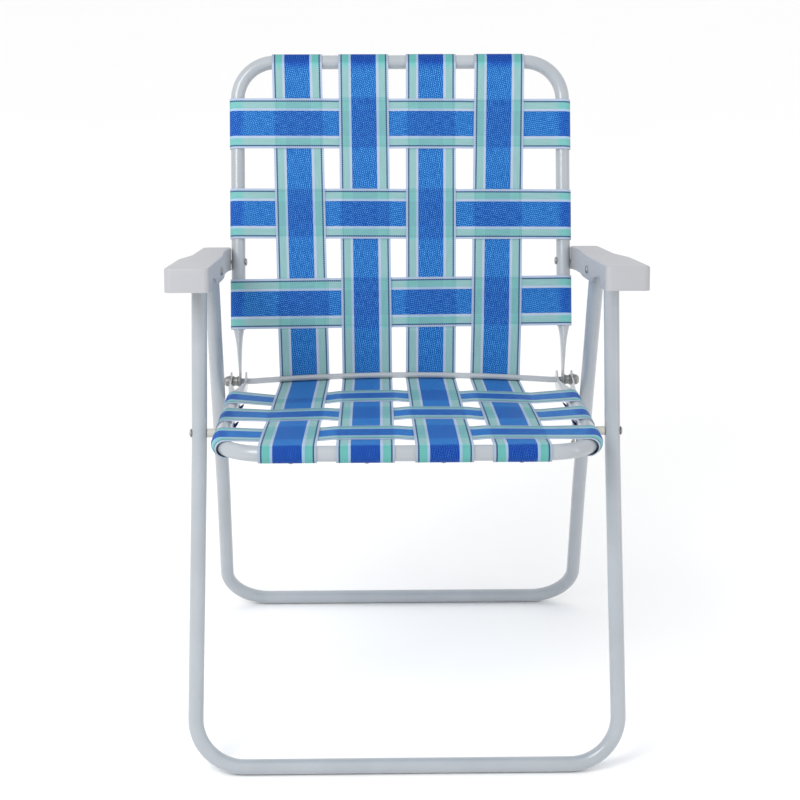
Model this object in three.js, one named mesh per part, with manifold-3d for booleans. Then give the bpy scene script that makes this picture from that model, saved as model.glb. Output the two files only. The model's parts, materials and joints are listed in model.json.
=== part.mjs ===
// Folding lawn chair with a bent tube frame and woven webbing, drawn open.
// Millimetres. X runs across the chair, +Y towards its back, +Z up.
// The side layout is worked out from the seat, and every other pivot follows it.
import * as THREE from 'three';
import Module from 'manifold-3d';
import { mergeVertices } from 'three/addons/utils/BufferGeometryUtils.js';

// Fits: the space left between two pieces, and round a pin in its hole.
const FIT_GAP = 0.3;
const PIN_GAP = 0.3;

// Frame tube, measured across its flats.
const TUBE_OD = 19;
const TUBE_WALL = 1.2;
const TUBE_SIDES = 12;
const BEND_STEP_DEG = 15;

// Seat: a U of tube, open at the rear.
const SEAT_FRONT_HEIGHT = 427.3;
const SEAT_SLOPE_DEG = 6;
const SEAT_HALF_WIDTH = 223.8;
const SEAT_RAIL_LENGTH = 326;
const SEAT_PIVOT_ALONG = 108.6;
const ROD_BEHIND_RAIL = 64.2;
const ROD_UP = 5.8;

// Plates at the rear ends of the seat rails, on both sides of the back's ends.
const EAR_THICK = 2.5;
const EAR_BITE = 0.5;
const EAR_OVERLAP = 14;
const EAR_RADIUS = 13;
const EAR_RISE = 8.6;

// Back: a U of tube, open at the bottom, with flattened ends.
const BACK_RECLINE_DEG = 18.8;
const BACK_LENGTH = 439;
const ARM_PIVOT_SHARE = 0.4345;
const FLAT_THICK = 4;
const FLAT_WIDTH = 27;
const FLAT_LENGTH = 12;
const FLAT_TAPER = 72;
const FLAT_TIP = 12;
const FLAT_INSET = 2.3;

// Front legs: a U of tube standing on its foot bar. Each OUT is how far the
// tube's middle stands outside the seat's side tube.
const FRONT_LEAN_DEG = 13.5;
const FRONT_LEG_ABOVE_SEAT = 183.1;
const FRONT_TOP_OUT = 27.4;
const FRONT_KNEE_OUT = 29.8;
const FRONT_FOOT_OUT = 40.4;
const FRONT_KNEE_BELOW_SEAT = 18;

// Rear legs: a U of tube standing on its foot bar.
const REAR_LEAN_DEG = 26.9;
const REAR_TOP_OUT = 18.6;
const REAR_KNEE_OUT = 27.3;
const REAR_FOOT_OUT = 35.1;
const REAR_KNEE_SHARE = 0.618;
const FOOT_CORNER = 60;

// Armrests: moulded channels, open underneath.
const ARM_TOP_TILT_DEG = 1.2;
const ARM_WALL = 2.6;
const ARM_TOP_ABOVE_PIVOT = 25.8;
const ARM_AHEAD = 111.6;
const ARM_BEHIND = 13;
const ARM_OUT = 58.4;
const ARM_REAR_OUT = 49.4;
const ARM_S_START_SHARE = 0.197;
const ARM_S_END_SHARE = 0.4585;
const ARM_SPLAY_START_SHARE = 0.39;
const ARM_SPLAY_END_SHARE = 0.696;
const ARM_PAD_BEFORE_PIVOT = 12.4;
const ARM_PAD_RAMP = 12;
const ARM_CORNER = 9;
const ARM_S_RADIUS = 30;
const ARM_EDGE = 3;
const ARM_EDGE_STEPS = 3;
const ARM_DEPTH = 28.6;
const ARM_REAR_DEPTH = 31.2;
const ARM_DEEPER_SHARE = 0.635;
const ARCH_FRONT = 68;
const ARCH_PEAK = 54;
const ARCH_BACK = 18;
const ARCH_END = 37;
const ARCH_HEIGHT = 13.5;
const ARCH_BACK_HEIGHT = 6;
const LUG_RADIUS = 9;
const LUG_THICK = 3;
const REAR_LEG_BEHIND = 68.8;
const REAR_LEG_ABOVE = 9.6;

// Links between the cross rod and the rear legs.
const LINK_DOWN_LEG = 320;
const LINK_THICK = 2;
const LINK_HALF_WIDTH = 8;

// Cross rod through the seat's ears and the back's flattened ends.
const ROD_RADIUS = 4;
const ROD_BOW = 7.5;
const ROD_STRAIGHT_END = 18.8;
const ROD_BOW_STEPS = 10;
const ROD_PAST_NUT_FACE = 3.4;
const NUT_RADIUS = 7;
const NUT_LENGTH = 6.2;
const NUT_SIDES = 6;
const SPOOL_RADIUS = 7.35;
const SPACER_RADIUS = 5.5;

// Rivets and screws.
const RIVET_RADIUS = 2.5;
const RIVET_HEAD_RADIUS = 5.2;
const RIVET_HEAD_HEIGHT = 2.3;
const ROUND_SIDES = 14;
const SCREW_RADIUS = 1.6;
const SCREW_HEAD_RADIUS = 3.8;
const SCREW_HEAD_HEIGHT = 1.6;
const SCREW_PAST_WALL = 2.4;
const SCREW_ANGLE_DEG = -112;
const SCREW_SIDES = 10;

// Webbing.
const STRAP_WIDTH = 68.6;
const STRAP_THICK = 1.2;
const WEAVE = 0.8;
const WEAVE_EASE = 4;
const WRAP_END_DEG = -140;
const WRAP_STEP_DEG = 25;
const BENT_STRAP_STEPS = 5;
const V_STRAP_SHARES = [-0.6144, -0.2167, 0.1854, 0.5943];
const SEAT_FIRST_STRAP = 64;
const SEAT_MIDDLE_SHARE = 0.495;
const STRAP_TO_EAR = 3.7;
const BACK_FIRST_STRAP = 107.9;
const BACK_MIDDLE_SHARE = 0.4903;
const STRAP_TO_BEND = 2.1;
// +1 where the strap from side to side lies over the one from front to rear.
const SEAT_OVER = [[-1, 1, -1, 1], [1, -1, 1, -1], [-1, 1, -1, 1]];
const BACK_OVER = [[1, -1, 1, -1], [-1, 1, -1, 1], [1, -1, 1, -1]];

// Materials.
const steelPaint = new THREE.MeshStandardMaterial({ color: 0xd5d9dc, roughness: 0.35, metalness: 0.1 });
const armPlastic = new THREE.MeshStandardMaterial({ color: 0xe9ebee, roughness: 0.4, metalness: 0 });
const creamPlastic = new THREE.MeshStandardMaterial({ color: 0xe4dfcf, roughness: 0.5, metalness: 0 });
const zincSteel = new THREE.MeshStandardMaterial({ color: 0xa9aca8, roughness: 0.38, metalness: 0.9 });
const blueWebbing = new THREE.MeshStandardMaterial({ color: 0x1e66c2, roughness: 0.8, metalness: 0 });
const mintWebbing = new THREE.MeshStandardMaterial({ color: 0x3d86c8, roughness: 0.8, metalness: 0 });

const wasm = await Module();
wasm.setup();

const rad = THREE.MathUtils.degToRad;
const ACROSS = new THREE.Vector3(1, 0, 0);
const TUBE_R = TUBE_OD / 2;
const TUBE_TIP_R = TUBE_R / Math.cos(Math.PI / TUBE_SIDES);
const TUBE_BORE_R = (TUBE_R - TUBE_WALL) / Math.cos(Math.PI / TUBE_SIDES);
const WRAP_R = TUBE_TIP_R + FIT_GAP + STRAP_THICK / 2;
const WRAP_OUTER_R = WRAP_R + STRAP_THICK / 2;
// The wrap's path allows for the flat chords of its own arc.
const ARC_R = WRAP_R + (TUBE_TIP_R + FIT_GAP) * (1 / Math.cos(rad(WRAP_STEP_DEG / 2)) - 1);
const RIVET_HOLE_R = RIVET_RADIUS + PIN_GAP;
const ROD_HOLE_R = ROD_RADIUS + PIN_GAP;

// A unit vector in the side view, at an angle up from +Y.
function heading(degrees) {
  return new THREE.Vector3(0, Math.cos(rad(degrees)), Math.sin(rad(degrees)));
}

// The point at distances a and b from an origin, along two directions.
function reach(origin, u, a, v = ACROSS, b = 0) {
  return origin.clone().addScaledVector(u, a).addScaledVector(v, b);
}

// Side layout: the pivots, worked out from the seat.
const seatAxis = heading(-SEAT_SLOPE_DEG);
const seatUp = heading(90 - SEAT_SLOPE_DEG);
const seatFront = new THREE.Vector3(0, 0, SEAT_FRONT_HEIGHT);
const rodAlong = SEAT_RAIL_LENGTH + ROD_BEHIND_RAIL;
const rodBowHalfSpan = SEAT_HALF_WIDTH - ROD_STRAIGHT_END;
const vStrapsX = V_STRAP_SHARES.map((share) => share * SEAT_HALF_WIDTH);
// The frames start to bend where the outermost strap ends.
const frameCorner = SEAT_HALF_WIDTH + vStrapsX[0] - STRAP_WIDTH / 2;
const lastStrap = SEAT_RAIL_LENGTH - EAR_OVERLAP - STRAP_TO_EAR - STRAP_WIDTH / 2;
const middleStrap = THREE.MathUtils.lerp(SEAT_FIRST_STRAP, lastStrap, SEAT_MIDDLE_SHARE);
const seatStrapsAlong = [SEAT_FIRST_STRAP, middleStrap, lastStrap];
const topStrap = BACK_LENGTH - frameCorner - STRAP_TO_BEND - STRAP_WIDTH / 2;
const secondStrap = THREE.MathUtils.lerp(BACK_FIRST_STRAP, topStrap, BACK_MIDDLE_SHARE);
const backStrapsUp = [BACK_FIRST_STRAP, secondStrap, topStrap];
// The armrest is pinned to the back between its two lower straps.
const backArmPivot = THREE.MathUtils.lerp(BACK_FIRST_STRAP + STRAP_WIDTH / 2,
  secondStrap - STRAP_WIDTH / 2, ARM_PIVOT_SHARE);
const rodPoint = reach(seatFront, seatAxis, rodAlong, seatUp, ROD_UP);
const seatPivot = reach(seatFront, seatAxis, SEAT_PIVOT_ALONG);

const frontDown = heading(-90 - FRONT_LEAN_DEG);
const armFrontPivot = reach(seatPivot, frontDown, -FRONT_LEG_ABOVE_SEAT);
const frontLegLength = (armFrontPivot.z - TUBE_R) / Math.cos(rad(FRONT_LEAN_DEG));
const frontFoot = reach(armFrontPivot, frontDown, frontLegLength);

const backUp = heading(90 - BACK_RECLINE_DEG);
const backFront = heading(180 - BACK_RECLINE_DEG);
const backTop = reach(rodPoint, backUp, BACK_LENGTH);
const armRearPivot = reach(rodPoint, backUp, backArmPivot);

const armReach = armRearPivot.clone().sub(armFrontPivot);
const armSlope = THREE.MathUtils.radToDeg(Math.atan2(armReach.z, armReach.y)) - ARM_TOP_TILT_DEG;
const armAxis = heading(armSlope);
const armUp = heading(armSlope + 90);
const armRearU = armReach.dot(armAxis);
const rearLegPivot = reach(armFrontPivot, armAxis, REAR_LEG_BEHIND, armUp, REAR_LEG_ABOVE);

const rearDown = heading(-90 + REAR_LEAN_DEG);
const rearLegLength = (rearLegPivot.z - TUBE_R) / Math.cos(rad(REAR_LEAN_DEG));
const rearFoot = reach(rearLegPivot, rearDown, rearLegLength);
const linkPivot = reach(rearLegPivot, rearDown, LINK_DOWN_LEG);

// Layers across the chair at the cross rod, from the middle outwards.
const earInnerX = SEAT_HALF_WIDTH - TUBE_R + EAR_BITE - EAR_THICK;
const flatCentreX = SEAT_HALF_WIDTH - FLAT_INSET;
const flatOuterX = flatCentreX + FLAT_THICK / 2;
const earOuterX = SEAT_HALF_WIDTH + TUBE_R - EAR_BITE;
const linkX = earOuterX + EAR_THICK + 2 * FIT_GAP;
const nutX = linkX + LINK_THICK + FIT_GAP;
const rodEndX = nutX + ROD_PAST_NUT_FACE;

// Half widths of the legs, at the middle of the tube.
const frontTopX = SEAT_HALF_WIDTH + FRONT_TOP_OUT;
const frontKneeX = SEAT_HALF_WIDTH + FRONT_KNEE_OUT;
const frontFootX = SEAT_HALF_WIDTH + FRONT_FOOT_OUT;
const rearTopX = SEAT_HALF_WIDTH + REAR_TOP_OUT;
const rearKneeX = SEAT_HALF_WIDTH + REAR_KNEE_OUT;
const rearFootX = SEAT_HALF_WIDTH + REAR_FOOT_OUT;

// Layers across the chair at the armrest. Its inner wall stands inside the rear
// leg, then outside the webbing round the back's tube, then close to that tube.
const armInnerX = rearTopX - TUBE_R - 2 * FIT_GAP - ARM_WALL;
const armRearInnerX = SEAT_HALF_WIDTH + WRAP_OUTER_R + 2 * FIT_GAP;
const armPadX = SEAT_HALF_WIDTH + TUBE_TIP_R + 2 * FIT_GAP;
const armOuterX = SEAT_HALF_WIDTH + ARM_OUT;
const armRearOuterX = SEAT_HALF_WIDTH + ARM_REAR_OUT;
const lugX = frontTopX + TUBE_R + 2 * FIT_GAP;

// A closed triangle mesh as a solid for the cuts and joins.
function solidOf(geometry) {
  const bare = geometry.clone();
  bare.deleteAttribute('normal');
  bare.deleteAttribute('uv');
  const merged = mergeVertices(bare, 1e-4);
  const vertProperties = new Float32Array(merged.attributes.position.array);
  const triVerts = new Uint32Array(merged.index.array);
  return new wasm.Manifold(new wasm.Mesh({ numProp: 3, vertProperties, triVerts }));
}

// A solid as a flat-shaded geometry.
function geometryOf(solid) {
  const mesh = solid.getMesh();
  const geometry = new THREE.BufferGeometry();
  const positions = new Float32Array(mesh.vertProperties);
  geometry.setAttribute('position', new THREE.BufferAttribute(positions, 3));
  geometry.setIndex(new THREE.BufferAttribute(new Uint32Array(mesh.triVerts), 1));
  const flat = geometry.toNonIndexed();
  flat.computeVertexNormals();
  return flat;
}

// The same geometry on the other side of the chair.
function mirrored(geometry) {
  const copy = geometry.index ? geometry.toNonIndexed() : geometry.clone();
  const position = copy.attributes.position;
  for (let i = 0; i < position.count; i += 3) {
    const corners = [0, 2, 1].map((k) => new THREE.Vector3().fromBufferAttribute(position, i + k));
    corners.forEach((p, k) => position.setXYZ(i + k, -p.x, p.y, p.z));
  }
  copy.computeVertexNormals();
  return copy;
}

function move(geometry, xAxis, yAxis, origin) {
  const zAxis = xAxis.clone().cross(yAxis);
  const matrix = new THREE.Matrix4().makeBasis(xAxis, yAxis, zAxis).setPosition(origin);
  return geometry.applyMatrix4(matrix);
}

// An outline whose corners [x, y, radius] are rounded.
function roundedOutline(corners, stepDeg = 22.5) {
  const points = [];
  corners.forEach(([x, y, radius = 0], i) => {
    const corner = new THREE.Vector2(x, y);
    const [px, py] = corners[(i + corners.length - 1) % corners.length];
    const [nx, ny] = corners[(i + 1) % corners.length];
    const before = new THREE.Vector2(px, py).sub(corner).normalize();
    const after = new THREE.Vector2(nx, ny).sub(corner).normalize();
    const turn = Math.PI - Math.acos(THREE.MathUtils.clamp(before.dot(after), -1, 1));
    if (radius === 0 || turn < rad(1)) {
      points.push(corner);
      return;
    }
    const run = radius * Math.tan(turn / 2);
    const middle = before.clone().add(after).normalize();
    const centre = corner.clone().addScaledVector(middle, radius / Math.cos(turn / 2));
    const start = corner.clone().addScaledVector(before, run).sub(centre);
    const sense = Math.sign(before.cross(after)) * -1;
    const steps = Math.max(2, Math.ceil(turn / rad(stepDeg)));
    for (let k = 0; k <= steps; k += 1) {
      const spoke = start.clone().rotateAround(new THREE.Vector2(), (sense * turn * k) / steps);
      points.push(centre.clone().add(spoke));
    }
  });
  return points;
}

// The corners of a counter-clockwise outline, moved inwards by a wall.
function insetCorners(corners, wall) {
  return corners.map(([x, y, radius = 0], i) => {
    const corner = new THREE.Vector2(x, y);
    const [px, py] = corners[(i + corners.length - 1) % corners.length];
    const [nx, ny] = corners[(i + 1) % corners.length];
    const a = corner.clone().sub(new THREE.Vector2(px, py)).normalize();
    const b = new THREE.Vector2(nx, ny).sub(corner).normalize();
    const inA = new THREE.Vector2(-a.y, a.x);
    const inB = new THREE.Vector2(-b.y, b.x);
    const middle = inA.clone().add(inB).normalize();
    const point = corner.clone().addScaledVector(middle, wall / middle.dot(inA));
    const outside = a.cross(b) > 0;
    return [point.x, point.y, Math.max(0, outside ? radius - wall : radius + wall)];
  });
}

function polygon(radius, sides, turn = Math.PI / sides) {
  const points = [];
  for (let i = 0; i < sides; i += 1) {
    const angle = turn + (2 * Math.PI * i) / sides;
    points.push(new THREE.Vector2(radius * Math.cos(angle), radius * Math.sin(angle)));
  }
  return points;
}

// A flat plate in the side view, from x to x + thickness.
function sidePlate(points, origin, u, v, x, thickness) {
  const options = { depth: thickness, bevelEnabled: false };
  const geometry = new THREE.ExtrudeGeometry(new THREE.Shape(points), options);
  return move(geometry, u, v, reach(origin, ACROSS, x));
}

// A body of revolution about a direction, from [radius, distance] pairs.
function turned(profile, origin, axis, sides = ROUND_SIDES) {
  const points = profile.map(([radius, along]) => new THREE.Vector2(radius, along));
  const geometry = new THREE.LatheGeometry(points, sides);
  const turn = new THREE.Quaternion().setFromUnitVectors(new THREE.Vector3(0, 1, 0), axis);
  return geometry.applyQuaternion(turn).translate(origin.x, origin.y, origin.z);
}

function cylinder(radius, length, origin, axis, sides = ROUND_SIDES) {
  return turned([[0, 0], [radius, 0], [radius, length], [0, length]], origin, axis, sides);
}

// A tool that drills through everything between two half-widths.
function drill(radius, point, fromX, toX, sides = ROUND_SIDES) {
  return solidOf(cylinder(radius, toX - fromX, reach(point, ACROSS, fromX), ACROSS, sides));
}

// A path given as stations, each with its own point and tube directions.
class StationPath extends THREE.Curve {
  constructor(stations) {
    super();
    this.stations = stations;
  }

  getPoint(t, target = new THREE.Vector3()) {
    const index = Math.round(t * (this.stations.length - 1));
    return target.copy(this.stations[index].point);
  }

  getSpacedPoints() {
    return this.stations.map((station) => station.point.clone());
  }

  computeFrenetFrames() {
    return {
      tangents: this.stations.map((station) => station.tangent),
      normals: this.stations.map((station) => station.normal),
      binormals: this.stations.map((station) => station.binormal),
    };
  }
}

function station(point, tangent, planeNormal, roll) {
  const inPlane = planeNormal.clone().cross(tangent).normalize();
  const normal = inPlane.clone().multiplyScalar(Math.cos(roll))
    .addScaledVector(planeNormal, Math.sin(roll));
  return { point, tangent, normal, binormal: tangent.clone().cross(normal) };
}

// The roll that turns a flat of the tube to face straight up and down.
function rollToFloor(tangent, planeNormal) {
  const inPlane = planeNormal.clone().cross(tangent);
  const step = (2 * Math.PI) / TUBE_SIDES;
  const roll = Math.atan2(planeNormal.z, inPlane.z);
  return roll - step * Math.round(roll / step);
}

// Stations of a flat polyline: [point, bend radius] with rolls for its runs.
function bentStations(corners, planeNormal, rolls = []) {
  const stations = [];
  const headingAt = (i) => corners[i + 1][0].clone().sub(corners[i][0]).normalize();
  const rollOf = (i) => rolls[i] ?? 0;
  corners.forEach(([point, radius], i) => {
    if (i === 0) {
      stations.push(station(point, headingAt(0), planeNormal, rollOf(0)));
      return;
    }
    if (i === corners.length - 1) {
      stations.push(station(point, headingAt(i - 1), planeNormal, rollOf(i - 1)));
      return;
    }
    const before = headingAt(i - 1);
    const after = headingAt(i);
    const turn = before.angleTo(after);
    const steps = Math.ceil(turn / rad(BEND_STEP_DEG));
    if (!radius || steps < 2) {
      const tangent = before.clone().add(after).normalize();
      stations.push(station(point, tangent, planeNormal, rollOf(i)));
      return;
    }
    const start = reach(point, before, -radius * Math.tan(turn / 2));
    const inward = after.clone().addScaledVector(before, -after.dot(before)).normalize();
    const centre = reach(start, inward, radius);
    for (let k = 0; k <= steps; k += 1) {
      const angle = (turn * k) / steps;
      const share = k / steps;
      const tangent = before.clone().multiplyScalar(Math.cos(angle))
        .addScaledVector(inward, Math.sin(angle));
      const spoke = reach(centre, inward, -radius * Math.cos(angle), before, radius * Math.sin(angle));
      const roll = rollOf(i - 1) * (1 - share) + rollOf(i) * share;
      stations.push(station(spoke, tangent, planeNormal, roll));
    }
  });
  return stations;
}

function tube(stations) {
  const shape = new THREE.Shape(polygon(TUBE_TIP_R, TUBE_SIDES));
  shape.holes.push(new THREE.Path(polygon(TUBE_BORE_R, TUBE_SIDES).reverse()));
  const extrudePath = new StationPath(stations);
  const options = { steps: stations.length - 1, bevelEnabled: false, extrudePath };
  return new THREE.ExtrudeGeometry(shape, options);
}

// Moves each vertex of a geometry by a rule.
function reshape(geometry, rule) {
  const position = geometry.attributes.position;
  const point = new THREE.Vector3();
  for (let i = 0; i < position.count; i += 1) {
    rule(point.fromBufferAttribute(position, i));
    position.setXYZ(i, point.x, point.y, point.z);
  }
  geometry.computeVertexNormals();
  return geometry;
}

// A leg's top end, rounded about its pivot so that it can turn under the armrest.
function roundTop(geometry, pivot, up) {
  const side = up.clone().cross(ACROSS);
  return reshape(geometry, (point) => {
    const offset = point.clone().sub(pivot);
    const above = offset.dot(up);
    if (above < TUBE_R / 2) return;
    const roundTo = Math.sqrt(Math.max(0, TUBE_TIP_R ** 2 - offset.dot(side) ** 2));
    point.addScaledVector(up, roundTo - above);
  });
}

// A pair of legs joined by a foot bar, as one bent tube.
function legFrame(pivot, down, length, halfWidths, kneeAlong) {
  const [topX, kneeX, footX] = halfWidths;
  const at = (x, along) => reach(pivot, down, along, ACROSS, x);
  const endX = topX - ((kneeX - topX) * TUBE_TIP_R) / kneeAlong;
  const corners = [
    [at(-endX, -TUBE_TIP_R), 0],
    [at(-kneeX, kneeAlong), 0],
    [at(-footX, length), FOOT_CORNER],
    [at(footX, length), FOOT_CORNER],
    [at(kneeX, kneeAlong), 0],
    [at(endX, -TUBE_TIP_R), 0],
  ];
  const planeNormal = down.clone().cross(ACROSS).normalize();
  const floorRoll = rollToFloor(ACROSS, planeNormal);
  const rolls = [0, 0, floorRoll, 0, 0];
  const geometry = tube(bentStations(corners, planeNormal, rolls));
  return roundTop(geometry, pivot, down.clone().negate());
}

// How far the seat's side tube has bent inwards, at a distance behind the front bar.
function cornerShift(behindBar) {
  const into = Math.max(0, frameCorner - behindBar);
  return frameCorner - Math.sqrt(frameCorner ** 2 - Math.min(into, frameCorner) ** 2);
}

// The outline of a strap round its mid-surface path.
function stripProfile(path) {
  const upper = [];
  const lower = [];
  path.forEach((point, i) => {
    const before = path[Math.max(0, i - 1)];
    const after = path[Math.min(path.length - 1, i + 1)];
    const a = point.clone().sub(before).normalize();
    const b = after.clone().sub(point).normalize();
    const tangent = a.add(b).normalize();
    const incoming = i === 0 ? tangent : point.clone().sub(before).normalize();
    const half = STRAP_THICK / 2 / Math.max(0.5, tangent.dot(incoming));
    const normal = new THREE.Vector2(-tangent.y, tangent.x);
    upper.push(point.clone().addScaledVector(normal, half));
    lower.push(point.clone().addScaledVector(normal, -half));
  });
  return lower.concat(upper.reverse());
}

function arc(centre, radius, fromDeg, toDeg) {
  const steps = Math.max(1, Math.ceil(Math.abs(toDeg - fromDeg) / WRAP_STEP_DEG));
  const points = [];
  for (let k = 0; k <= steps; k += 1) {
    const angle = rad(fromDeg + ((toDeg - fromDeg) * k) / steps);
    const spoke = new THREE.Vector2(Math.cos(angle), Math.sin(angle)).multiplyScalar(radius);
    points.push(spoke.add(centre));
  }
  return points;
}

// The mid-surface over and under the straps that it crosses.
function wovenRun(centres, levels) {
  return centres.flatMap((centre, i) => {
    const half = STRAP_WIDTH / 2 + WEAVE_EASE;
    const level = WRAP_R + WEAVE * levels[i];
    return [new THREE.Vector2(centre - half, level), new THREE.Vector2(centre + half, level)];
  });
}

// A strap drawn as its side profile and extruded across its width.
function strap(path, u, v, origin, steps = 1) {
  const options = { depth: STRAP_WIDTH, steps, bevelEnabled: false };
  const geometry = new THREE.ExtrudeGeometry(new THREE.Shape(stripProfile(path)), options);
  const across = u.clone().cross(v);
  return move(geometry, u, v, reach(origin, across, -STRAP_WIDTH / 2));
}

// A strap from side to side, wrapped round both side tubes. Where the tubes
// already bend inwards, its ends follow them.
function crossStrap(origin, front, levels, toCorner = STRAP_WIDTH + frameCorner) {
  const path = [
    ...arc(new THREE.Vector2(-SEAT_HALF_WIDTH, 0), ARC_R, 180 - WRAP_END_DEG, 90),
    ...wovenRun(vStrapsX, levels),
    ...arc(new THREE.Vector2(SEAT_HALF_WIDTH, 0), ARC_R, 90, WRAP_END_DEG),
  ];
  const bent = toCorner - STRAP_WIDTH / 2 < frameCorner;
  const geometry = strap(path, ACROSS, front, origin, bent ? BENT_STRAP_STEPS : 1);
  if (!bent) return geometry;
  const along = front.clone().cross(ACROSS);
  const wrapStart = SEAT_HALF_WIDTH - WRAP_OUTER_R;
  const freeEnd = vStrapsX.at(-1) + STRAP_WIDTH / 2;
  return reshape(geometry, (point) => {
    const toBar = toCorner + point.clone().sub(origin).dot(along);
    const share = THREE.MathUtils.smoothstep(Math.abs(point.x), freeEnd, wrapStart);
    const shift = cornerShift(toBar);
    const widening = frameCorner / (frameCorner - shift) - 1;
    const offset = Math.max(-WRAP_OUTER_R, Math.abs(point.x) - SEAT_HALF_WIDTH);
    point.x += Math.sign(point.x) * share * (offset * widening - shift);
  });
}

// A screw through the strap into the tube at an angle round it, and its drill.
function strapScrew(centre, outward, up) {
  const angle = rad(SCREW_ANGLE_DEG);
  const axis = outward.clone().multiplyScalar(Math.cos(angle)).addScaledVector(up, Math.sin(angle));
  const headFace = ARC_R + STRAP_THICK / 2 + FIT_GAP;
  const tip = TUBE_R - TUBE_WALL - SCREW_PAST_WALL;
  const chamferShare = 0.7;
  const headTop = headFace + SCREW_HEAD_HEIGHT;
  const profile = [
    [0, tip],
    [SCREW_RADIUS, tip],
    [SCREW_RADIUS, headFace],
    [SCREW_HEAD_RADIUS, headFace],
    [SCREW_HEAD_RADIUS, headFace + SCREW_HEAD_HEIGHT / 2],
    [SCREW_HEAD_RADIUS * chamferShare, headTop],
    [0, headTop],
  ];
  const body = turned(profile, centre, axis, SCREW_SIDES);
  const hole = cylinder(SCREW_RADIUS + PIN_GAP, headTop - tip + SCREW_PAST_WALL,
    reach(centre, axis, tip - SCREW_PAST_WALL / 2), axis, SCREW_SIDES);
  return { body, hole: solidOf(hole) };
}

// The bow of the cross rod at a distance from the chair's middle.
function rodBow(x) {
  return ROD_BOW * Math.max(0, 1 - (x / rodBowHalfSpan) ** 2);
}

// A point in a side view that has its own origin and directions.
function inView(point, origin, u, v) {
  const offset = point.clone().sub(origin);
  return new THREE.Vector2(offset.dot(u), offset.dot(v));
}

// Where the line from one point towards another is a given distance from a centre.
function lineAtRadius(from, towards, centre, radius) {
  const direction = towards.clone().sub(from).normalize();
  const offset = from.clone().sub(centre);
  const along = offset.dot(direction);
  const toGo = Math.sqrt(along ** 2 - offset.lengthSq() + radius ** 2) - along;
  return from.clone().addScaledVector(direction, toGo);
}

// Where the strap's mid-surface leaves the rod towards a point, as an angle in degrees.
function tangentAngle(point, centre, radius, sense) {
  const line = point.clone().sub(centre);
  return THREE.MathUtils.radToDeg(line.angle() + sense * Math.acos(radius / line.length()));
}

const group = new THREE.Group();
group.name = 'folding_webbed_lawn_chair';

function add(name, geometry, material) {
  const mesh = new THREE.Mesh(geometry, material);
  mesh.name = name;
  group.add(mesh);
}

function addPair(name, geometry, material) {
  add(`${name}_right`, geometry, material);
  add(`${name}_left`, mirrored(geometry), material);
}

function cut(geometry, tools) {
  let solid = geometry instanceof wasm.Manifold ? geometry : solidOf(geometry);
  tools.forEach((tool) => {
    solid = solid.subtract(tool);
  });
  return geometryOf(solid);
}

// A through-hole on both sides of the chair.
function drillBoth(radius, point, fromX, toX) {
  return [drill(radius, point, fromX, toX), drill(radius, point, -toX, -fromX)];
}

// A pin along X with a domed head at each end; the inner end may be plain.
function rivet(point, fromX, toX, heads = [true, true]) {
  const domeShare = 0.62;
  const headAt = (x, sense) => [
    [RIVET_HEAD_RADIUS, x],
    [RIVET_HEAD_RADIUS, x + (sense * RIVET_HEAD_HEIGHT) / 3],
    [RIVET_HEAD_RADIUS * domeShare, x + sense * RIVET_HEAD_HEIGHT],
    [0, x + sense * RIVET_HEAD_HEIGHT],
  ];
  const inner = heads[0] ? headAt(fromX, -1).reverse() : [[0, fromX]];
  const outer = heads[1] ? headAt(toX, 1) : [[0, toX]];
  const profile = [...inner, [RIVET_RADIUS, fromX], [RIVET_RADIUS, toX], ...outer];
  return turned(profile, point, ACROSS);
}

// Straps and their screws come first, because the screws drill the frames.
const seatTools = [];
const backTools = [];
const rodR = ROD_RADIUS + FIT_GAP + STRAP_THICK / 2;

function addStrap(name, geometry, screws, material, tools) {
  add(name, cut(geometry, screws.map((screw) => screw.hole)), material);
  screws.forEach((screw, i) => {
    add(`${name}_screw_${i + 1}`, screw.body, zincSteel);
    tools.push(screw.hole);
  });
}

seatStrapsAlong.forEach((along, i) => {
  const middle = reach(seatFront, seatAxis, along);
  const screws = [-1, 1].map((side) => strapScrew(reach(middle, ACROSS, side * SEAT_HALF_WIDTH),
    ACROSS.clone().multiplyScalar(side), seatUp));
  const geometry = crossStrap(middle, seatUp, SEAT_OVER[i], along);
  addStrap(`seat_strap_s${i + 1}`, geometry, screws, blueWebbing, seatTools);
});

backStrapsUp.forEach((up, i) => {
  const middle = reach(rodPoint, backUp, up);
  const screws = [-1, 1].map((side) => strapScrew(reach(middle, ACROSS, side * SEAT_HALF_WIDTH),
    ACROSS.clone().multiplyScalar(side), backFront));
  const geometry = crossStrap(middle, backFront, BACK_OVER[i]);
  addStrap(`back_strap_h${i + 1}`, geometry, screws, blueWebbing, backTools);
});

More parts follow.
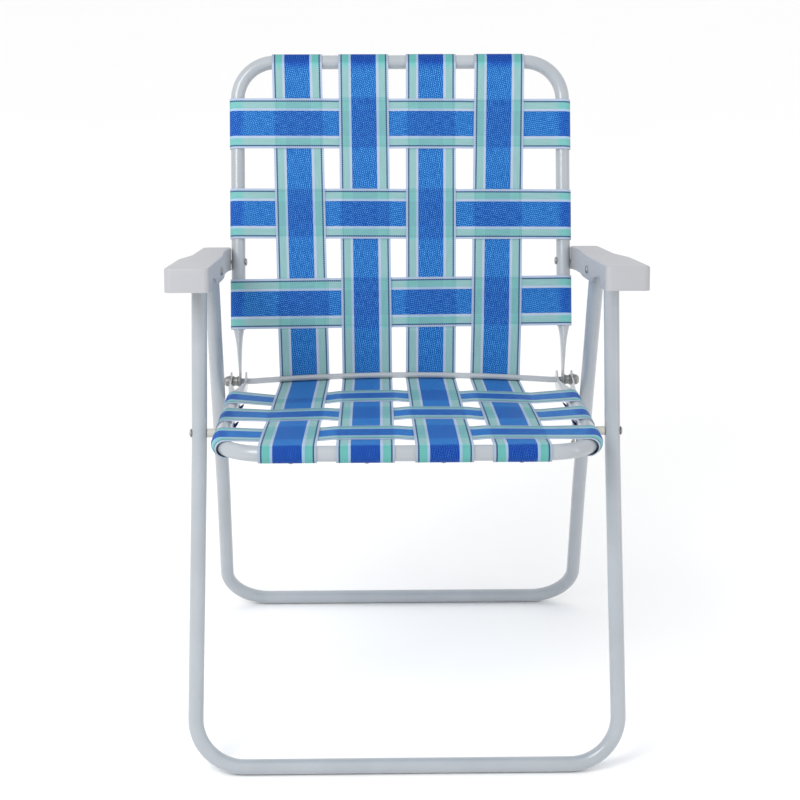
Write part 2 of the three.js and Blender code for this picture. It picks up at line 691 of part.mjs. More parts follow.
// The long straps run under the rod. Each is parted behind it, just beyond the
// reach of the bowed rod, so that the back's half turns clear of the rod.
vStrapsX.forEach((x, i) => {
  const lowBow = rodBow(Math.abs(x) + STRAP_WIDTH / 2);
  const highBow = rodBow(Math.abs(x) - STRAP_WIDTH / 2);
  const seatRun = wovenRun(seatStrapsAlong, SEAT_OVER.map((levels) => -levels[i]));
  const backRun = wovenRun(backStrapsUp, BACK_OVER.map((levels) => -levels[i]));
  const backStart = reach(rodPoint, backUp, backRun[0].x, backFront, backRun[0].y);
  const leaveTo = inView(backStart, seatFront, seatAxis, seatUp);
  const rodCentre = new THREE.Vector2(rodAlong, ROD_UP + lowBow);
  const meetDeg = tangentAngle(seatRun.at(-1), rodCentre, rodR, 1);
  const leaveDeg = tangentAngle(leaveTo, rodCentre, rodR, -1) + 360;
  const rodArc = arc(rodCentre, rodR, meetDeg, leaveDeg);
  const turnCentre = new THREE.Vector2(rodAlong, ROD_UP);
  const clearR = highBow + ROD_RADIUS + FIT_GAP + STRAP_THICK;
  const partAt = (radius) => lineAtRadius(rodArc.at(-1), leaveTo, turnCentre, radius);
  const parting = partAt(clearR);
  const partingPoint = reach(seatFront, seatAxis, parting.x, seatUp, parting.y);
  const seatPath = [
    ...arc(new THREE.Vector2(0, 0), ARC_R, 180 - WRAP_END_DEG, 90),
    ...seatRun,
    ...rodArc,
    partAt(clearR - 3 * FIT_GAP),
  ];
  const backPath = [
    inView(partingPoint, rodPoint, backUp, backFront),
    ...backRun,
    ...arc(new THREE.Vector2(BACK_LENGTH, 0), ARC_R, 90, WRAP_END_DEG),
  ];
  const seatOrigin = reach(seatFront, ACROSS, x);
  const backOrigin = reach(rodPoint, ACROSS, x);
  const seatScrew = strapScrew(seatOrigin, seatAxis.clone().negate(), seatUp);
  const backScrew = strapScrew(reach(backTop, ACROSS, x), backUp, backFront);
  const seatStrap = strap(seatPath, seatAxis, seatUp, seatOrigin);
  const backStrap = strap(backPath, backUp, backFront, backOrigin);
  addStrap(`seat_strap_v${i + 1}`, seatStrap, [seatScrew], mintWebbing, seatTools);
  addStrap(`back_strap_v${i + 1}`, backStrap, [backScrew], mintWebbing, backTools);
});

// Front legs.
const frontKnee = FRONT_LEG_ABOVE_SEAT + FRONT_KNEE_BELOW_SEAT;
const frontWidths = [frontTopX, frontKneeX, frontFootX];
const frontLegs = legFrame(armFrontPivot, frontDown, frontLegLength, frontWidths, frontKnee);
const seatPivotX = THREE.MathUtils.lerp(frontTopX, frontKneeX,
  FRONT_LEG_ABOVE_SEAT / frontKnee);
const topFromX = frontTopX - TUBE_OD;
const topToX = frontTopX + TUBE_OD;
add('front_leg_frame', cut(frontLegs, [
  ...drillBoth(RIVET_HOLE_R, armFrontPivot, topFromX, topToX),
  ...drillBoth(RIVET_HOLE_R, seatPivot, seatPivotX - TUBE_OD, seatPivotX + TUBE_OD),
]), steelPaint);

const spacerFrom = SEAT_HALF_WIDTH + TUBE_R + FIT_GAP;
const spacerTo = seatPivotX - TUBE_R - FIT_GAP;
addPair('seat_pivot_spacer', turned([
  [RIVET_HOLE_R, spacerFrom],
  [SPACER_RADIUS, spacerFrom],
  [SPACER_RADIUS, spacerTo],
  [RIVET_HOLE_R, spacerTo],
  [RIVET_HOLE_R, spacerFrom],
], seatPivot, ACROSS), creamPlastic);
addPair('seat_pivot_rivet', rivet(seatPivot, SEAT_HALF_WIDTH - TUBE_R - FIT_GAP,
  seatPivotX + TUBE_R + FIT_GAP), zincSteel);
addPair('arm_front_rivet', rivet(armFrontPivot, frontTopX - TUBE_R - FIT_GAP,
  lugX + LUG_THICK + FIT_GAP), zincSteel);

// Seat frame: the U of tube with a pair of ears at each rear end.
const seatPlane = seatAxis.clone().cross(ACROSS).normalize();
const seatTube = tube(bentStations([
  [reach(seatFront, seatAxis, SEAT_RAIL_LENGTH, ACROSS, -SEAT_HALF_WIDTH), 0],
  [reach(seatFront, ACROSS, -SEAT_HALF_WIDTH), frameCorner],
  [reach(seatFront, ACROSS, SEAT_HALF_WIDTH), frameCorner],
  [reach(seatFront, seatAxis, SEAT_RAIL_LENGTH, ACROSS, SEAT_HALF_WIDTH), 0],
], seatPlane));
const earFoot = TUBE_R / 2;
const earOutline = [
  new THREE.Vector2(SEAT_RAIL_LENGTH - EAR_OVERLAP, -earFoot),
  ...arc(new THREE.Vector2(rodAlong, ROD_UP), EAR_RADIUS, -90, 90),
  new THREE.Vector2(rodAlong - 2 * EAR_RADIUS, EAR_RISE),
  new THREE.Vector2(SEAT_RAIL_LENGTH, earFoot),
  new THREE.Vector2(SEAT_RAIL_LENGTH - EAR_OVERLAP, earFoot),
];
let seatSolid = solidOf(seatTube);
[earInnerX, earOuterX].forEach((x) => {
  [x, -x - EAR_THICK].forEach((from) => {
    const ear = sidePlate(earOutline, seatFront, seatAxis, seatUp, from, EAR_THICK);
    seatSolid = seatSolid.add(solidOf(ear));
  });
});
add('seat_frame', cut(seatSolid, [
  ...seatTools,
  ...drillBoth(RIVET_HOLE_R, seatPivot, SEAT_HALF_WIDTH - TUBE_OD, SEAT_HALF_WIDTH + TUBE_OD),
  ...drillBoth(ROD_HOLE_R, rodPoint, earInnerX - TUBE_R, earOuterX + TUBE_R),
]), steelPaint);

const rodStations = [station(reach(rodPoint, ACROSS, -rodEndX), ACROSS, seatUp, 0)];
for (let k = 0; k <= ROD_BOW_STEPS; k += 1) {
  const x = rodBowHalfSpan * ((2 * k) / ROD_BOW_STEPS - 1);
  const point = reach(rodPoint, ACROSS, x, seatUp, rodBow(x));
  rodStations.push(station(point, ACROSS, seatUp, 0));
}
rodStations.push(station(reach(rodPoint, ACROSS, rodEndX), ACROSS, seatUp, 0));
add('cross_rod', new THREE.ExtrudeGeometry(new THREE.Shape(polygon(ROD_RADIUS, TUBE_SIDES)), {
  steps: rodStations.length - 1,
  bevelEnabled: false,
  extrudePath: new StationPath(rodStations),
}), zincSteel);

const nutBore = rodEndX + FIT_GAP;
const nutTop = nutX + NUT_LENGTH;
addPair('rod_cap_nut', turned([
  [ROD_HOLE_R, nutX],
  [NUT_RADIUS, nutX],
  [NUT_RADIUS, nutX + NUT_LENGTH / 2],
  [NUT_RADIUS / 2, nutTop],
  [0, nutTop],
  [0, nutBore],
  [ROD_HOLE_R, nutBore],
  [ROD_HOLE_R, nutX],
], rodPoint, ACROSS, NUT_SIDES * 2), zincSteel);
addPair('rod_spool', turned([
  [ROD_HOLE_R, flatOuterX + FIT_GAP],
  [SPOOL_RADIUS, flatOuterX + FIT_GAP],
  [SPOOL_RADIUS, earOuterX - FIT_GAP],
  [ROD_HOLE_R, earOuterX - FIT_GAP],
  [ROD_HOLE_R, flatOuterX + FIT_GAP],
], rodPoint, ACROSS), creamPlastic);

// Back frame: the U of tube with flattened lower ends.
const flatStops = [-FLAT_TIP, -FLAT_TIP * 0.7, 0, FLAT_LENGTH, FLAT_LENGTH + FLAT_TAPER * 0.33,
  FLAT_LENGTH + FLAT_TAPER * 0.67, FLAT_LENGTH + FLAT_TAPER];
const backAt = (x, up) => reach(rodPoint, backUp, up, ACROSS, x);
const backTube = tube(bentStations([
  ...flatStops.map((up) => [backAt(-SEAT_HALF_WIDTH, up), 0]),
  [backAt(-SEAT_HALF_WIDTH, BACK_LENGTH), frameCorner],
  [backAt(SEAT_HALF_WIDTH, BACK_LENGTH), frameCorner],
  ...flatStops.map((up) => [backAt(SEAT_HALF_WIDTH, up), 0]).reverse(),
], backUp.clone().cross(ACROSS).normalize()));
const roundShare = 0.5;
reshape(backTube, (point) => {
  const offset = point.clone().sub(rodPoint);
  const up = offset.dot(backUp);
  if (up > FLAT_LENGTH + FLAT_TAPER) return;
  const side = Math.sign(point.x);
  const lateral = Math.abs(point.x) - SEAT_HALF_WIDTH;
  const forward = offset.dot(backFront);
  const radius = Math.hypot(lateral, forward);
  const outer = radius > (TUBE_TIP_R + TUBE_BORE_R) / 2;
  const flat = THREE.MathUtils.smoothstep(FLAT_LENGTH + FLAT_TAPER - up, 0, FLAT_TAPER);
  const halfThick = FLAT_THICK / 2 - (outer ? 0 : TUBE_WALL);
  const halfWidth = FLAT_WIDTH / 2 - (outer ? 0 : TUBE_WALL);
  const tip = Math.sqrt(1 - (Math.min(0, up) / (FLAT_WIDTH / 2)) ** 2);
  const pressed = Math.sign(lateral) * halfThick
    * Math.min(1, Math.abs(lateral) / (radius * roundShare));
  const spread = (forward / radius) * halfWidth * tip;
  const newLateral = THREE.MathUtils.lerp(lateral, pressed - FLAT_INSET, flat);
  const newForward = THREE.MathUtils.lerp(forward, spread, flat ** 2);
  point.x = side * (SEAT_HALF_WIDTH + newLateral);
  point.addScaledVector(backFront, newForward - forward);
});
add('back_frame', cut(backTube, [
  ...backTools,
  ...drillBoth(ROD_HOLE_R, rodPoint, flatCentreX - TUBE_R, flatCentreX + TUBE_R),
  ...drillBoth(RIVET_HOLE_R, armRearPivot, SEAT_HALF_WIDTH - TUBE_OD, SEAT_HALF_WIDTH + TUBE_OD),
]), steelPaint);
addPair('arm_rear_rivet', rivet(armRearPivot, SEAT_HALF_WIDTH - TUBE_R - FIT_GAP,
  armPadX - FIT_GAP, [true, false]), zincSteel);

// Armrests.
const armEndU = armRearU + ARM_BEHIND;
const armPadU = armRearU - ARM_PAD_BEFORE_PIVOT;
const armCorners = [
  [-ARM_AHEAD, armInnerX, ARM_CORNER],
  [armRearU * ARM_SPLAY_START_SHARE, armInnerX, ARM_CORNER],
  [armRearU * ARM_SPLAY_END_SHARE, armRearInnerX, ARM_CORNER],
  [armPadU - ARM_PAD_RAMP, armRearInnerX, 0],
  [armPadU, armPadX, 0],
  [armEndU, armPadX, ARM_CORNER],
  [armEndU, armRearOuterX, ARM_CORNER],
  [armRearU * ARM_S_END_SHARE, armRearOuterX, ARM_S_RADIUS],
  [armRearU * ARM_S_START_SHARE, armOuterX, ARM_S_RADIUS],
  [-ARM_AHEAD, armOuterX, ARM_CORNER],
];
function armBlock(corners, topW, edge) {
  const shape = new THREE.Shape(roundedOutline(corners));
  const options = {
    depth: 2 * ARM_REAR_DEPTH,
    bevelThickness: edge,
    bevelSize: edge,
    bevelOffset: -edge,
    bevelSegments: ARM_EDGE_STEPS,
  };
  const geometry = new THREE.ExtrudeGeometry(shape, options);
  return solidOf(move(geometry, armAxis, ACROSS, reach(armFrontPivot, armUp, topW - edge)));
}
const lowW = ARM_TOP_ABOVE_PIVOT - ARM_DEPTH;
const rearLowW = ARM_TOP_ABOVE_PIVOT - ARM_REAR_DEPTH;
const farLowW = -3 * ARM_REAR_DEPTH;
const underLine = (arch) => [
  [armEndU + ARM_DEPTH, rearLowW],
  [armRearU, rearLowW],
  [armRearU * ARM_DEEPER_SHARE, lowW],
  ...arch,
  [-ARM_AHEAD - ARM_DEPTH, lowW],
  [-ARM_AHEAD - ARM_DEPTH, farLowW],
  [armEndU + ARM_DEPTH, farLowW],
].map(([u, w]) => new THREE.Vector2(u, w));
const archLine = [
  [ARCH_END, lowW],
  [ARCH_BACK, lowW + ARCH_BACK_HEIGHT],
  [-ARCH_PEAK, lowW + ARCH_HEIGHT],
  [-ARCH_FRONT, lowW],
];
const armMiddleX = (armInnerX + armOuterX) / 2;
const armReachX = armOuterX - armMiddleX + TUBE_OD;
const innerCut = sidePlate(underLine(archLine), armFrontPivot, armAxis, armUp,
  armMiddleX - armReachX, armReachX);
const outerCut = sidePlate(underLine([]), armFrontPivot, armAxis, armUp, armMiddleX, armReachX);
const lugOutline = [
  new THREE.Vector2(-LUG_RADIUS, ARM_TOP_ABOVE_PIVOT - ARM_WALL / 2),
  ...arc(new THREE.Vector2(0, 0), LUG_RADIUS, -180, 0),
  new THREE.Vector2(LUG_RADIUS, ARM_TOP_ABOVE_PIVOT - ARM_WALL / 2),
];
const lug = sidePlate(lugOutline, armFrontPivot, armAxis, armUp, lugX, LUG_THICK);
const armShell = armBlock(armCorners, ARM_TOP_ABOVE_PIVOT, ARM_EDGE)
  .subtract(armBlock(insetCorners(armCorners, ARM_WALL), ARM_TOP_ABOVE_PIVOT - ARM_WALL,
    ARM_EDGE - ARM_WALL))
  .subtract(solidOf(innerCut))
  .subtract(solidOf(outerCut))
  .add(solidOf(lug));
addPair('armrest', cut(armShell, [
  drill(RIVET_HOLE_R, armFrontPivot, lugX - LUG_THICK, lugX + 2 * LUG_THICK),
  drill(RIVET_HOLE_R, rearLegPivot, armInnerX - ARM_WALL, armInnerX + 2 * ARM_WALL),
]), armPlastic);
addPair('rear_leg_rivet', rivet(rearLegPivot, armInnerX - FIT_GAP,
  rearTopX + TUBE_R + FIT_GAP), zincSteel);

// Rear legs.
const rearWidths = [rearTopX, rearKneeX, rearFootX];
const rearKnee = rearLegLength * REAR_KNEE_SHARE;
const rearLegs = legFrame(rearLegPivot, rearDown, rearLegLength, rearWidths, rearKnee);
add('rear_leg_frame', cut(rearLegs, drillBoth(RIVET_HOLE_R, rearLegPivot,
  rearTopX - TUBE_OD, rearTopX + TUBE_OD)), steelPaint);

// Links: they turn on the cross rod, and their rivets end just short of the rear legs.
const linkReach = linkPivot.clone().sub(rodPoint);
const linkLength = linkReach.length();
const linkU = linkReach.clone().normalize();
const linkV = ACROSS.clone().cross(linkU);
const linkOutline = [
  ...arc(new THREE.Vector2(0, 0), LINK_HALF_WIDTH, 90, 270),
  ...arc(new THREE.Vector2(linkLength, 0), LINK_HALF_WIDTH, -90, 90),
];
addPair('link', cut(sidePlate(linkOutline, rodPoint, linkU, linkV, linkX, LINK_THICK), [
  drill(ROD_HOLE_R, rodPoint, linkX - LINK_THICK, linkX + 2 * LINK_THICK),
  drill(RIVET_HOLE_R, linkPivot, linkX - LINK_THICK, linkX + 2 * LINK_THICK),
]), zincSteel);
const linkLegX = THREE.MathUtils.lerp(rearTopX, rearKneeX,
  LINK_DOWN_LEG / rearKnee) - TUBE_R;
addPair('link_rivet', rivet(linkPivot, linkX - FIT_GAP, linkLegX - FIT_GAP, [true, false]), zincSteel);

// The origin goes to the middle of the footprint, on the floor.
const box = new THREE.Box3().setFromObject(group);
const centre = box.getCenter(new THREE.Vector3());
group.children.forEach((mesh) => mesh.geometry.translate(-centre.x, -centre.y, -box.min.z));

export default group;
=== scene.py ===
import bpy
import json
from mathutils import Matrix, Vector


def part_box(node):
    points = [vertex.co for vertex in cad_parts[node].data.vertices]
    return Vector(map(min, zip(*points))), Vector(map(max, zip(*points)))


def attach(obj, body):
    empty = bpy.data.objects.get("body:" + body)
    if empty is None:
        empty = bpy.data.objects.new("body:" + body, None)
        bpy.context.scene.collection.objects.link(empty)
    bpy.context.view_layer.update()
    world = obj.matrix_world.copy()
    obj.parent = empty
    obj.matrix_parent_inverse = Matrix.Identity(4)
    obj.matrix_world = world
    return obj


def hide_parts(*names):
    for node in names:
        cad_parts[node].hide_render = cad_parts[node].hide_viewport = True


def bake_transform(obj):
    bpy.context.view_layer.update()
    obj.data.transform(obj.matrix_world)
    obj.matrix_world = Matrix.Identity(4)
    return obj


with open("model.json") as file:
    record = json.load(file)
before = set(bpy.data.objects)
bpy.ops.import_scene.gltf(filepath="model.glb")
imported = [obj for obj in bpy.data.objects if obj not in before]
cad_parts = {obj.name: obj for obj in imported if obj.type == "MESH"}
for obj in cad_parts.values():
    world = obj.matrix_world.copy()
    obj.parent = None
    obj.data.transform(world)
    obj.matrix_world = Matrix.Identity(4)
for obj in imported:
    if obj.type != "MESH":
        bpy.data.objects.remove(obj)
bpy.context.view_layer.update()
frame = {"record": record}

import functools
import json
import math

import bpy
from bpy.props import FloatProperty, IntProperty, PointerProperty, StringProperty
from mathutils import Matrix, Vector

bl_info = {
    "name": "Folding webbed lawn chair",
    "version": (1, 0, 0),
    "blender": (4, 5, 0),
    "location": "View3D > Sidebar > Lawn Chair",
    "description": "Dresses the packed frame of a folding webbed lawn chair",
    "category": "Object",
}

ACROSS = Vector((1.0, 0.0, 0.0))
SIDES = (("right", 1), ("left", -1))
PIVOTS = {
    joint["name"]: Vector(joint["pos_m"])
    for joint in frame["record"]["behaviour"]["joints"]
}
SEAT_PIVOT = PIVOTS["seat_fold"]
ROD = PIVOTS["back_fold"]
ARM_FRONT = PIVOTS["arm_fold"]
REAR_LEG_TOP = PIVOTS["rear_leg_fold"]


# Sizes

def a_length(name, default, description):
    return FloatProperty(name=name, description=description, default=default, unit="LENGTH")


def an_angle(name, default, description):
    return FloatProperty(name=name, description=f"{description}, degrees", default=default)


def a_share(name, default, description):
    return FloatProperty(name=name, description=description, default=default)


def a_count(name, default, description):
    return IntProperty(name=name, description=description, default=default)


def a_colour(name, default, description):
    return StringProperty(name=name, description=f"{description}, sRGB hex", default=default)


class LawnChairFrame(bpy.types.PropertyGroup):
    """Sizes of the bent tubes and of what joins them."""

    tube: a_length("Tube diameter", 0.019, "Outside diameter of the frame tube")
    wall: a_length("Tube wall", 0.0012, "Wall of the frame tube")
    sides: a_count("Tube sides", 32, "Faces round each tube")
    seat_slope: an_angle("Seat slope", 6.0, "Fall of the seat towards its rear")
    recline: an_angle("Recline", 18.8, "Lean of the back from upright")
    front_lean: an_angle("Front leg lean", 13.5, "Lean of the front legs")
    rear_lean: an_angle("Rear leg lean", 26.9, "Lean of the rear legs")
    half_width: a_length("Seat half width", 0.2238, "From the middle to a side tube")
    seat_corner: a_length("Seat corner", 0.062, "Bend radius of the seat's front corners")
    back_corner: a_length("Back corner", 0.052, "Bend radius of the back's top corners")
    foot_corner: a_length("Foot corner", 0.060, "Bend radius at the foot bars")
    front_knee: a_length("Front knee", 0.2011, "Bend of the front legs, below their pin")
    front_above: a_length("Front tip", 0.0085, "Front legs' ends above their pin")
    rear_knee: a_share("Rear knee", 0.618, "Bend of the rear legs below their pin, share of the leg")
    rear_above: a_length("Rear tip", 0.0045, "Rear legs' ends above their pin")
    rail: a_length("Rail length", 0.314, "Side rail behind the front bar")
    ear_radius: a_length("Ear radius", 0.013, "Round end of the seat's ears")
    ear_thick: a_length("Ear thickness", 0.0019, "Thickness of the seat's ears")
    ear_out: a_length("Ear place", 0.0102, "Middle of an ear from the middle of its rail")
    rod_along: a_length("Rod place", 0.3902, "Rod behind the front bar")
    rod_up: a_length("Rod height", 0.0058, "Rod above the rail's centre line")
    rod_bow: a_length("Rod bow", 0.0075, "Rise of the rod at its middle")
    rod_end: a_length("Rod end", 0.0362, "Straight end of the rod, beyond its bow")
    rod_radius: a_length("Rod radius", 0.004, "Radius of the cross rod")
    back_length: a_length("Back length", 0.439, "From the rod to the top bar")
    pressed_thick: a_length("Pressed thickness", 0.0038, "Thickness of the back's pressed ends")
    pressed_wide: a_length("Pressed width", 0.027, "Width of the back's pressed ends")
    pressed_in: a_length("Pressed inset", 0.0018, "How far the pressed ends stand inwards")
    arm_pivot_up: a_length("Arm pivot", 0.1641, "Armrest's pin above the rod, up the back")
    link_down: a_length("Link pivot", 0.320, "Link's pin below the rear leg's, down the leg")
    link_radius: a_length("Link radius", 0.008, "Round ends of the links")
    link_thick: a_length("Link thickness", 0.002, "Thickness of the links")


# Half widths of the legs at the foot bar, the knee, the pin and the tip.
FRONT_LEG_WIDTHS = (0.2642, 0.2536, 0.2512, 0.2511)
REAR_LEG_WIDTHS = (0.2589, 0.2511, 0.2424, 0.2422)
# Where the rod's bow ends, from the middle.
BOW_END = 0.205


class LawnChairArmrest(bpy.types.PropertyGroup):
    """Sizes of the moulded armrests. Shares are of the way from the front pin to the rear one."""

    top_tilt: an_angle("Top tilt", 1.2, "Between the top and the line of its pins")
    wall: a_length("Wall", 0.0026, "Wall of the moulding")
    edge: a_length("Edge", 0.0022, "Radius of the top edges")
    top: a_length("Top", 0.0258, "Top face above the front pin")
    ahead: a_length("Ahead", 0.1116, "Length ahead of the front pin")
    behind: a_length("Behind", 0.013, "Length behind the rear pin")
    inner: a_length("Inner side", 0.2297, "Inner face at the front, from the middle")
    outer: a_length("Outer side", 0.2822, "Outer face at the front, from the middle")
    rear_inner: a_length("Rear inner side", 0.2357, "Inner face at the rear, from the middle")
    rear_outer: a_length("Rear outer side", 0.2732, "Outer face at the rear, from the middle")
    splay_start: a_share("Splay start", 0.39, "Where the inner face starts to move outwards")
    splay_end: a_share("Splay end", 0.696, "Where the inner face is straight again")
    curve_start: a_share("Curve start", 0.197, "Where the outer face starts to move inwards")
    curve_end: a_share("Curve end", 0.4585, "Where the outer face is straight again")
    curve: a_length("Curve", 0.030, "Bend radius of the outer face")
    pad: a_length("Pad", 0.0124, "Start of the pad at the rear pin, ahead of it")
    pad_ramp: a_length("Pad ramp", 0.012, "Slope ahead of the pad")
    pad_rise: a_length("Pad rise", 0.0015, "How far the pad stands inwards")
    depth: a_length("Depth", 0.0286, "Depth of the sides at the front")
    rear_depth: a_length("Rear depth", 0.0312, "Depth of the sides at the rear")
    lug: a_length("Lug radius", 0.009, "Round end of the lug for the front leg")
    lug_thick: a_length("Lug thickness", 0.003, "Thickness of that lug")
    lug_out: a_length("Lug place", 0.2613, "Inner face of that lug, from the middle")


class LawnChairWebbing(bpy.types.PropertyGroup):
    """Sizes and colours of the woven webbing."""

    width: a_length("Width", 0.0686, "Width of the webbing")
    thickness: a_length("Thickness", 0.0012, "Thickness of the webbing")
    weave: a_length("Weave rise", 0.00066, "Rise and fall where straps cross")
    columns: a_count("Columns", 14, "Faces across a strap")
    step: a_length("Row spacing", 0.0035, "Length of the faces along a strap")
    blue: a_colour("Blue", "00519F", "Main band")
    dots: a_colour("Dots", "5CA9EC", "Paler floats in the main band")
    mint: a_colour("Mint", "8BB3B4", "Side bands")
    pale: a_colour("Pale", "ABBACF", "Lines and edges")
    navy: a_colour("Navy", "08356E", "Thin lines")
    # The deep colours are shaded copies of the ones above, painted where a strap lies on a tube or on another
    # strap.
    deep_blue: a_colour("Deep blue", "00389D", "Main band on a dark ground")
    deep_mint: a_colour("Deep mint", "6AB7B3", "Side bands on a dark ground")
    deep_pale: a_colour("Deep pale", "9CBDD6", "Lines on a dark ground")


V_STRAPS = (-0.1375, -0.0485, 0.0415, 0.133)
# How far each long strap is pulled sideways at the front bar, the rod and the top bar.
V_DRIFT = ((-0.0038, 0.0039, -0.0043), (-0.0016, 0.0011, -0.0021), (0.0008, -0.0017, 0.0007),
           (0.0005, -0.0044, 0.0036))
SEAT_STRAPS = (0.064, 0.168, 0.274)
BACK_STRAPS = (0.1079, 0.2269, 0.3506)
# How far each cross strap's middle is pulled along its frame, its slope across the chair, and how
# far its ends are pulled past its middle.
SEAT_DRIFT = ((-0.0025, 0.0, -0.003), (0.002, 0.0, -0.004), (0.001, 0.0, -0.007))
BACK_DRIFT = ((-0.0008, 0.0076, 0.0), (0.0016, -0.0066, 0.0), (0.0020, -0.0045, 0.0))
# 1 where a cross strap lies over the long strap, -1 where it lies under it.
SEAT_OVER = ((-1, 1, -1, 1), (1, -1, 1, -1), (-1, 1, -1, 1))
BACK_OVER = ((1, -1, 1, -1), (-1, 1, -1, 1), (1, -1, 1, -1))
# Where a strap's end lies on its tube, and where its screw goes in, in degrees round the tube.
WRAP_END = -140.0
SCREW_ANGLE = -112.0
# Where a cross strap starts to follow the seat's bent corner, from the middle.
CORNER_FROM = 0.171


def chair():
    return bpy.context.scene.lawn_chair_frame


def armrest_sizes():
    return bpy.context.scene.lawn_chair_armrest


def webbing():
    return bpy.context.scene.lawn_chair_webbing


def heading(degrees):
    """A unit vector in the side view, at an angle up from the chair's rear."""
    angle = math.radians(degrees)
    return Vector((0.0, math.cos(angle), math.sin(angle)))


def directions():
    """The side view's directions: along the seat, up from it, and so on."""
    c = chair()
    return {
        "seat": heading(-c.seat_slope),
        "seat_up": heading(90 - c.seat_slope),
        "back": heading(90 - c.recline),
        "back_front": heading(180 - c.recline),
        "front_down": heading(-90 - c.front_lean),
        "rear_down": heading(-90 + c.rear_lean),
    }


def seat_origin():
    """The middle of the seat's front bar."""
    c, d = chair(), directions()
    return ROD - d["seat"] * c.rod_along - d["seat_up"] * c.rod_up


def back_end():
    """The middle of the back's top bar."""
    return ROD + directions()["back"] * chair().back_length


# Materials

def linear(hex_colour):
    """An sRGB hex colour as linear RGBA."""
    values = [int(hex_colour[i:i + 2], 16) / 255 for i in (0, 2, 4)]
    return (*[v / 12.92 if v <= 0.04045 else ((v + 0.055) / 1.055) ** 2.4 for v in values], 1.0)


def add_node(tree, kind, settings=None, links=None):
    """Adds a node. Settings are its own values, links its inputs: a value, or another node's output."""
    node = tree.nodes.new(kind)
    for key, value in (settings or {}).items():
        setattr(node, key, value)
    for key, value in (links or {}).items():
        socket = node.inputs[key]
        if isinstance(value, bpy.types.NodeSocket):
            tree.links.new(value, socket)
        else:
            socket.default_value = value
    return node


def new_material(name):
    made = bpy.data.materials.new(name)
    made.use_nodes = True
    made.node_tree.nodes.clear()
    return made, made.node_tree


def finish_material(made, colour, roughness, inputs):
    """Gives a material its shader, and returns it."""
    tree = made.node_tree
    shader = add_node(tree, "ShaderNodeBsdfPrincipled", links={
        "Base Color": colour, "Roughness": roughness, **inputs})
    add_node(tree, "ShaderNodeOutputMaterial", links={"Surface": shader.outputs[0]})
    return made


def object_place(tree):
    return add_node(tree, "ShaderNodeTexCoord").outputs["Object"]


def noise(tree, place, scale, detail):
    return add_node(tree, "ShaderNodeTexNoise", links={
        "Vector": place, "Scale": scale, "Detail": detail}).outputs[0]


def spread(tree, value, low, high, to_low=0.0, to_high=1.0):
    """Maps one range of a value to another, and clamps it there."""
    return add_node(tree, "ShaderNodeMapRange", links={
        "Value": value, "From Min": low, "From Max": high, "To Min": to_low, "To Max": to_high}).outputs[0]


def bump(tree, height, strength, distance):
    return add_node(tree, "ShaderNodeBump", links={
        "Height": height, "Strength": strength, "Distance": distance}).outputs[0]


def maths(tree, operation, a, b=0.0, clamp=False):
    node = add_node(tree, "ShaderNodeMath", {"operation": operation, "use_clamp": clamp}, {0: a, 1: b})
    return node.outputs[0]


def mix_colour(tree, factor, a, b, blend="MIX"):
    node = add_node(tree, "ShaderNodeMix", {"data_type": "RGBA", "blend_type": blend},
                    {"Factor": factor, 6: a, 7: b})
    return node.outputs[2]


def powder_coated_steel():
    """Powder coat on steel tube: smooth, glossy, with the faint ripple of baked powder."""
    made, tree = new_material("powder_coated_steel")
    place = object_place(tree)
    # The ripple of a powder coat is about 1.5 mm from crest to crest.
    ripple = noise(tree, place, 1 / 0.0015, 2.0)
    # Handling leaves soft patches some 60 mm wide.
    patches = noise(tree, place, 1 / 0.06, 3.0)
    colour = mix_colour(tree, spread(tree, patches, 0.3, 0.7), linear("9CA2A8"), linear("A4AAB0"))
    return finish_material(made, colour, spread(tree, patches, 0.3, 0.7, 0.30, 0.38), {
        "IOR": 1.5, "Normal": bump(tree, ripple, 0.12, 0.00008),
        "Coat Weight": 0.6, "Coat Roughness": 0.12})


def moulded_plastic(name, low, high, roughness):
    """Injection moulded plastic: satin, with a fine grain from the mould's face."""
    made, tree = new_material(name)
    place = object_place(tree)
    # Mould grain is about 0.8 mm; it is drawn at 1.2 mm so that it shows.
    grain = noise(tree, place, 1 / 0.0012, 3.0)
    # The pigment's clouds are some 50 mm wide.
    colour = mix_colour(tree, noise(tree, place, 1 / 0.05, 2.0), linear(low), linear(high))
    return finish_material(made, colour, roughness, {
        "IOR": 1.49, "Normal": bump(tree, grain, 0.15, 0.0001),
        "Subsurface Weight": 0.05, "Subsurface Radius": (0.004, 0.004, 0.004), "Subsurface Scale": 1.0})


def zinc_plated_steel():
    """Bright zinc plate on steel: greyish metal with slightly cloudy patches."""
    made, tree = new_material("zinc_plated_steel")
    # Plating clouds are 2 to 3 mm wide.
    cloud = noise(tree, object_place(tree), 1 / 0.0025, 3.0)
    colour = mix_colour(tree, cloud, linear("8F918F"), linear("AFB1AE"))
    return finish_material(made, colour, spread(tree, cloud, 0.3, 0.7, 0.42, 0.55), {"Metallic": 1.0})


def pale_floor():
    """A pale, even studio floor."""
    made, tree = new_material("pale_studio_floor")
    cloud = noise(tree, object_place(tree), 1.5, 2.0)
    return finish_material(made, mix_colour(tree, cloud, linear("FCFCFC"), linear("FEFEFE")), 0.9, {})


# Shares of the width, from an edge to the middle band and back.
STRIPES = (("edge", 0.042), ("navy", 0.027), ("mint", 0.133), ("pale", 0.048), ("blue", 0.50),
           ("pale", 0.048), ("mint", 0.133), ("navy", 0.027), ("edge", 0.042))


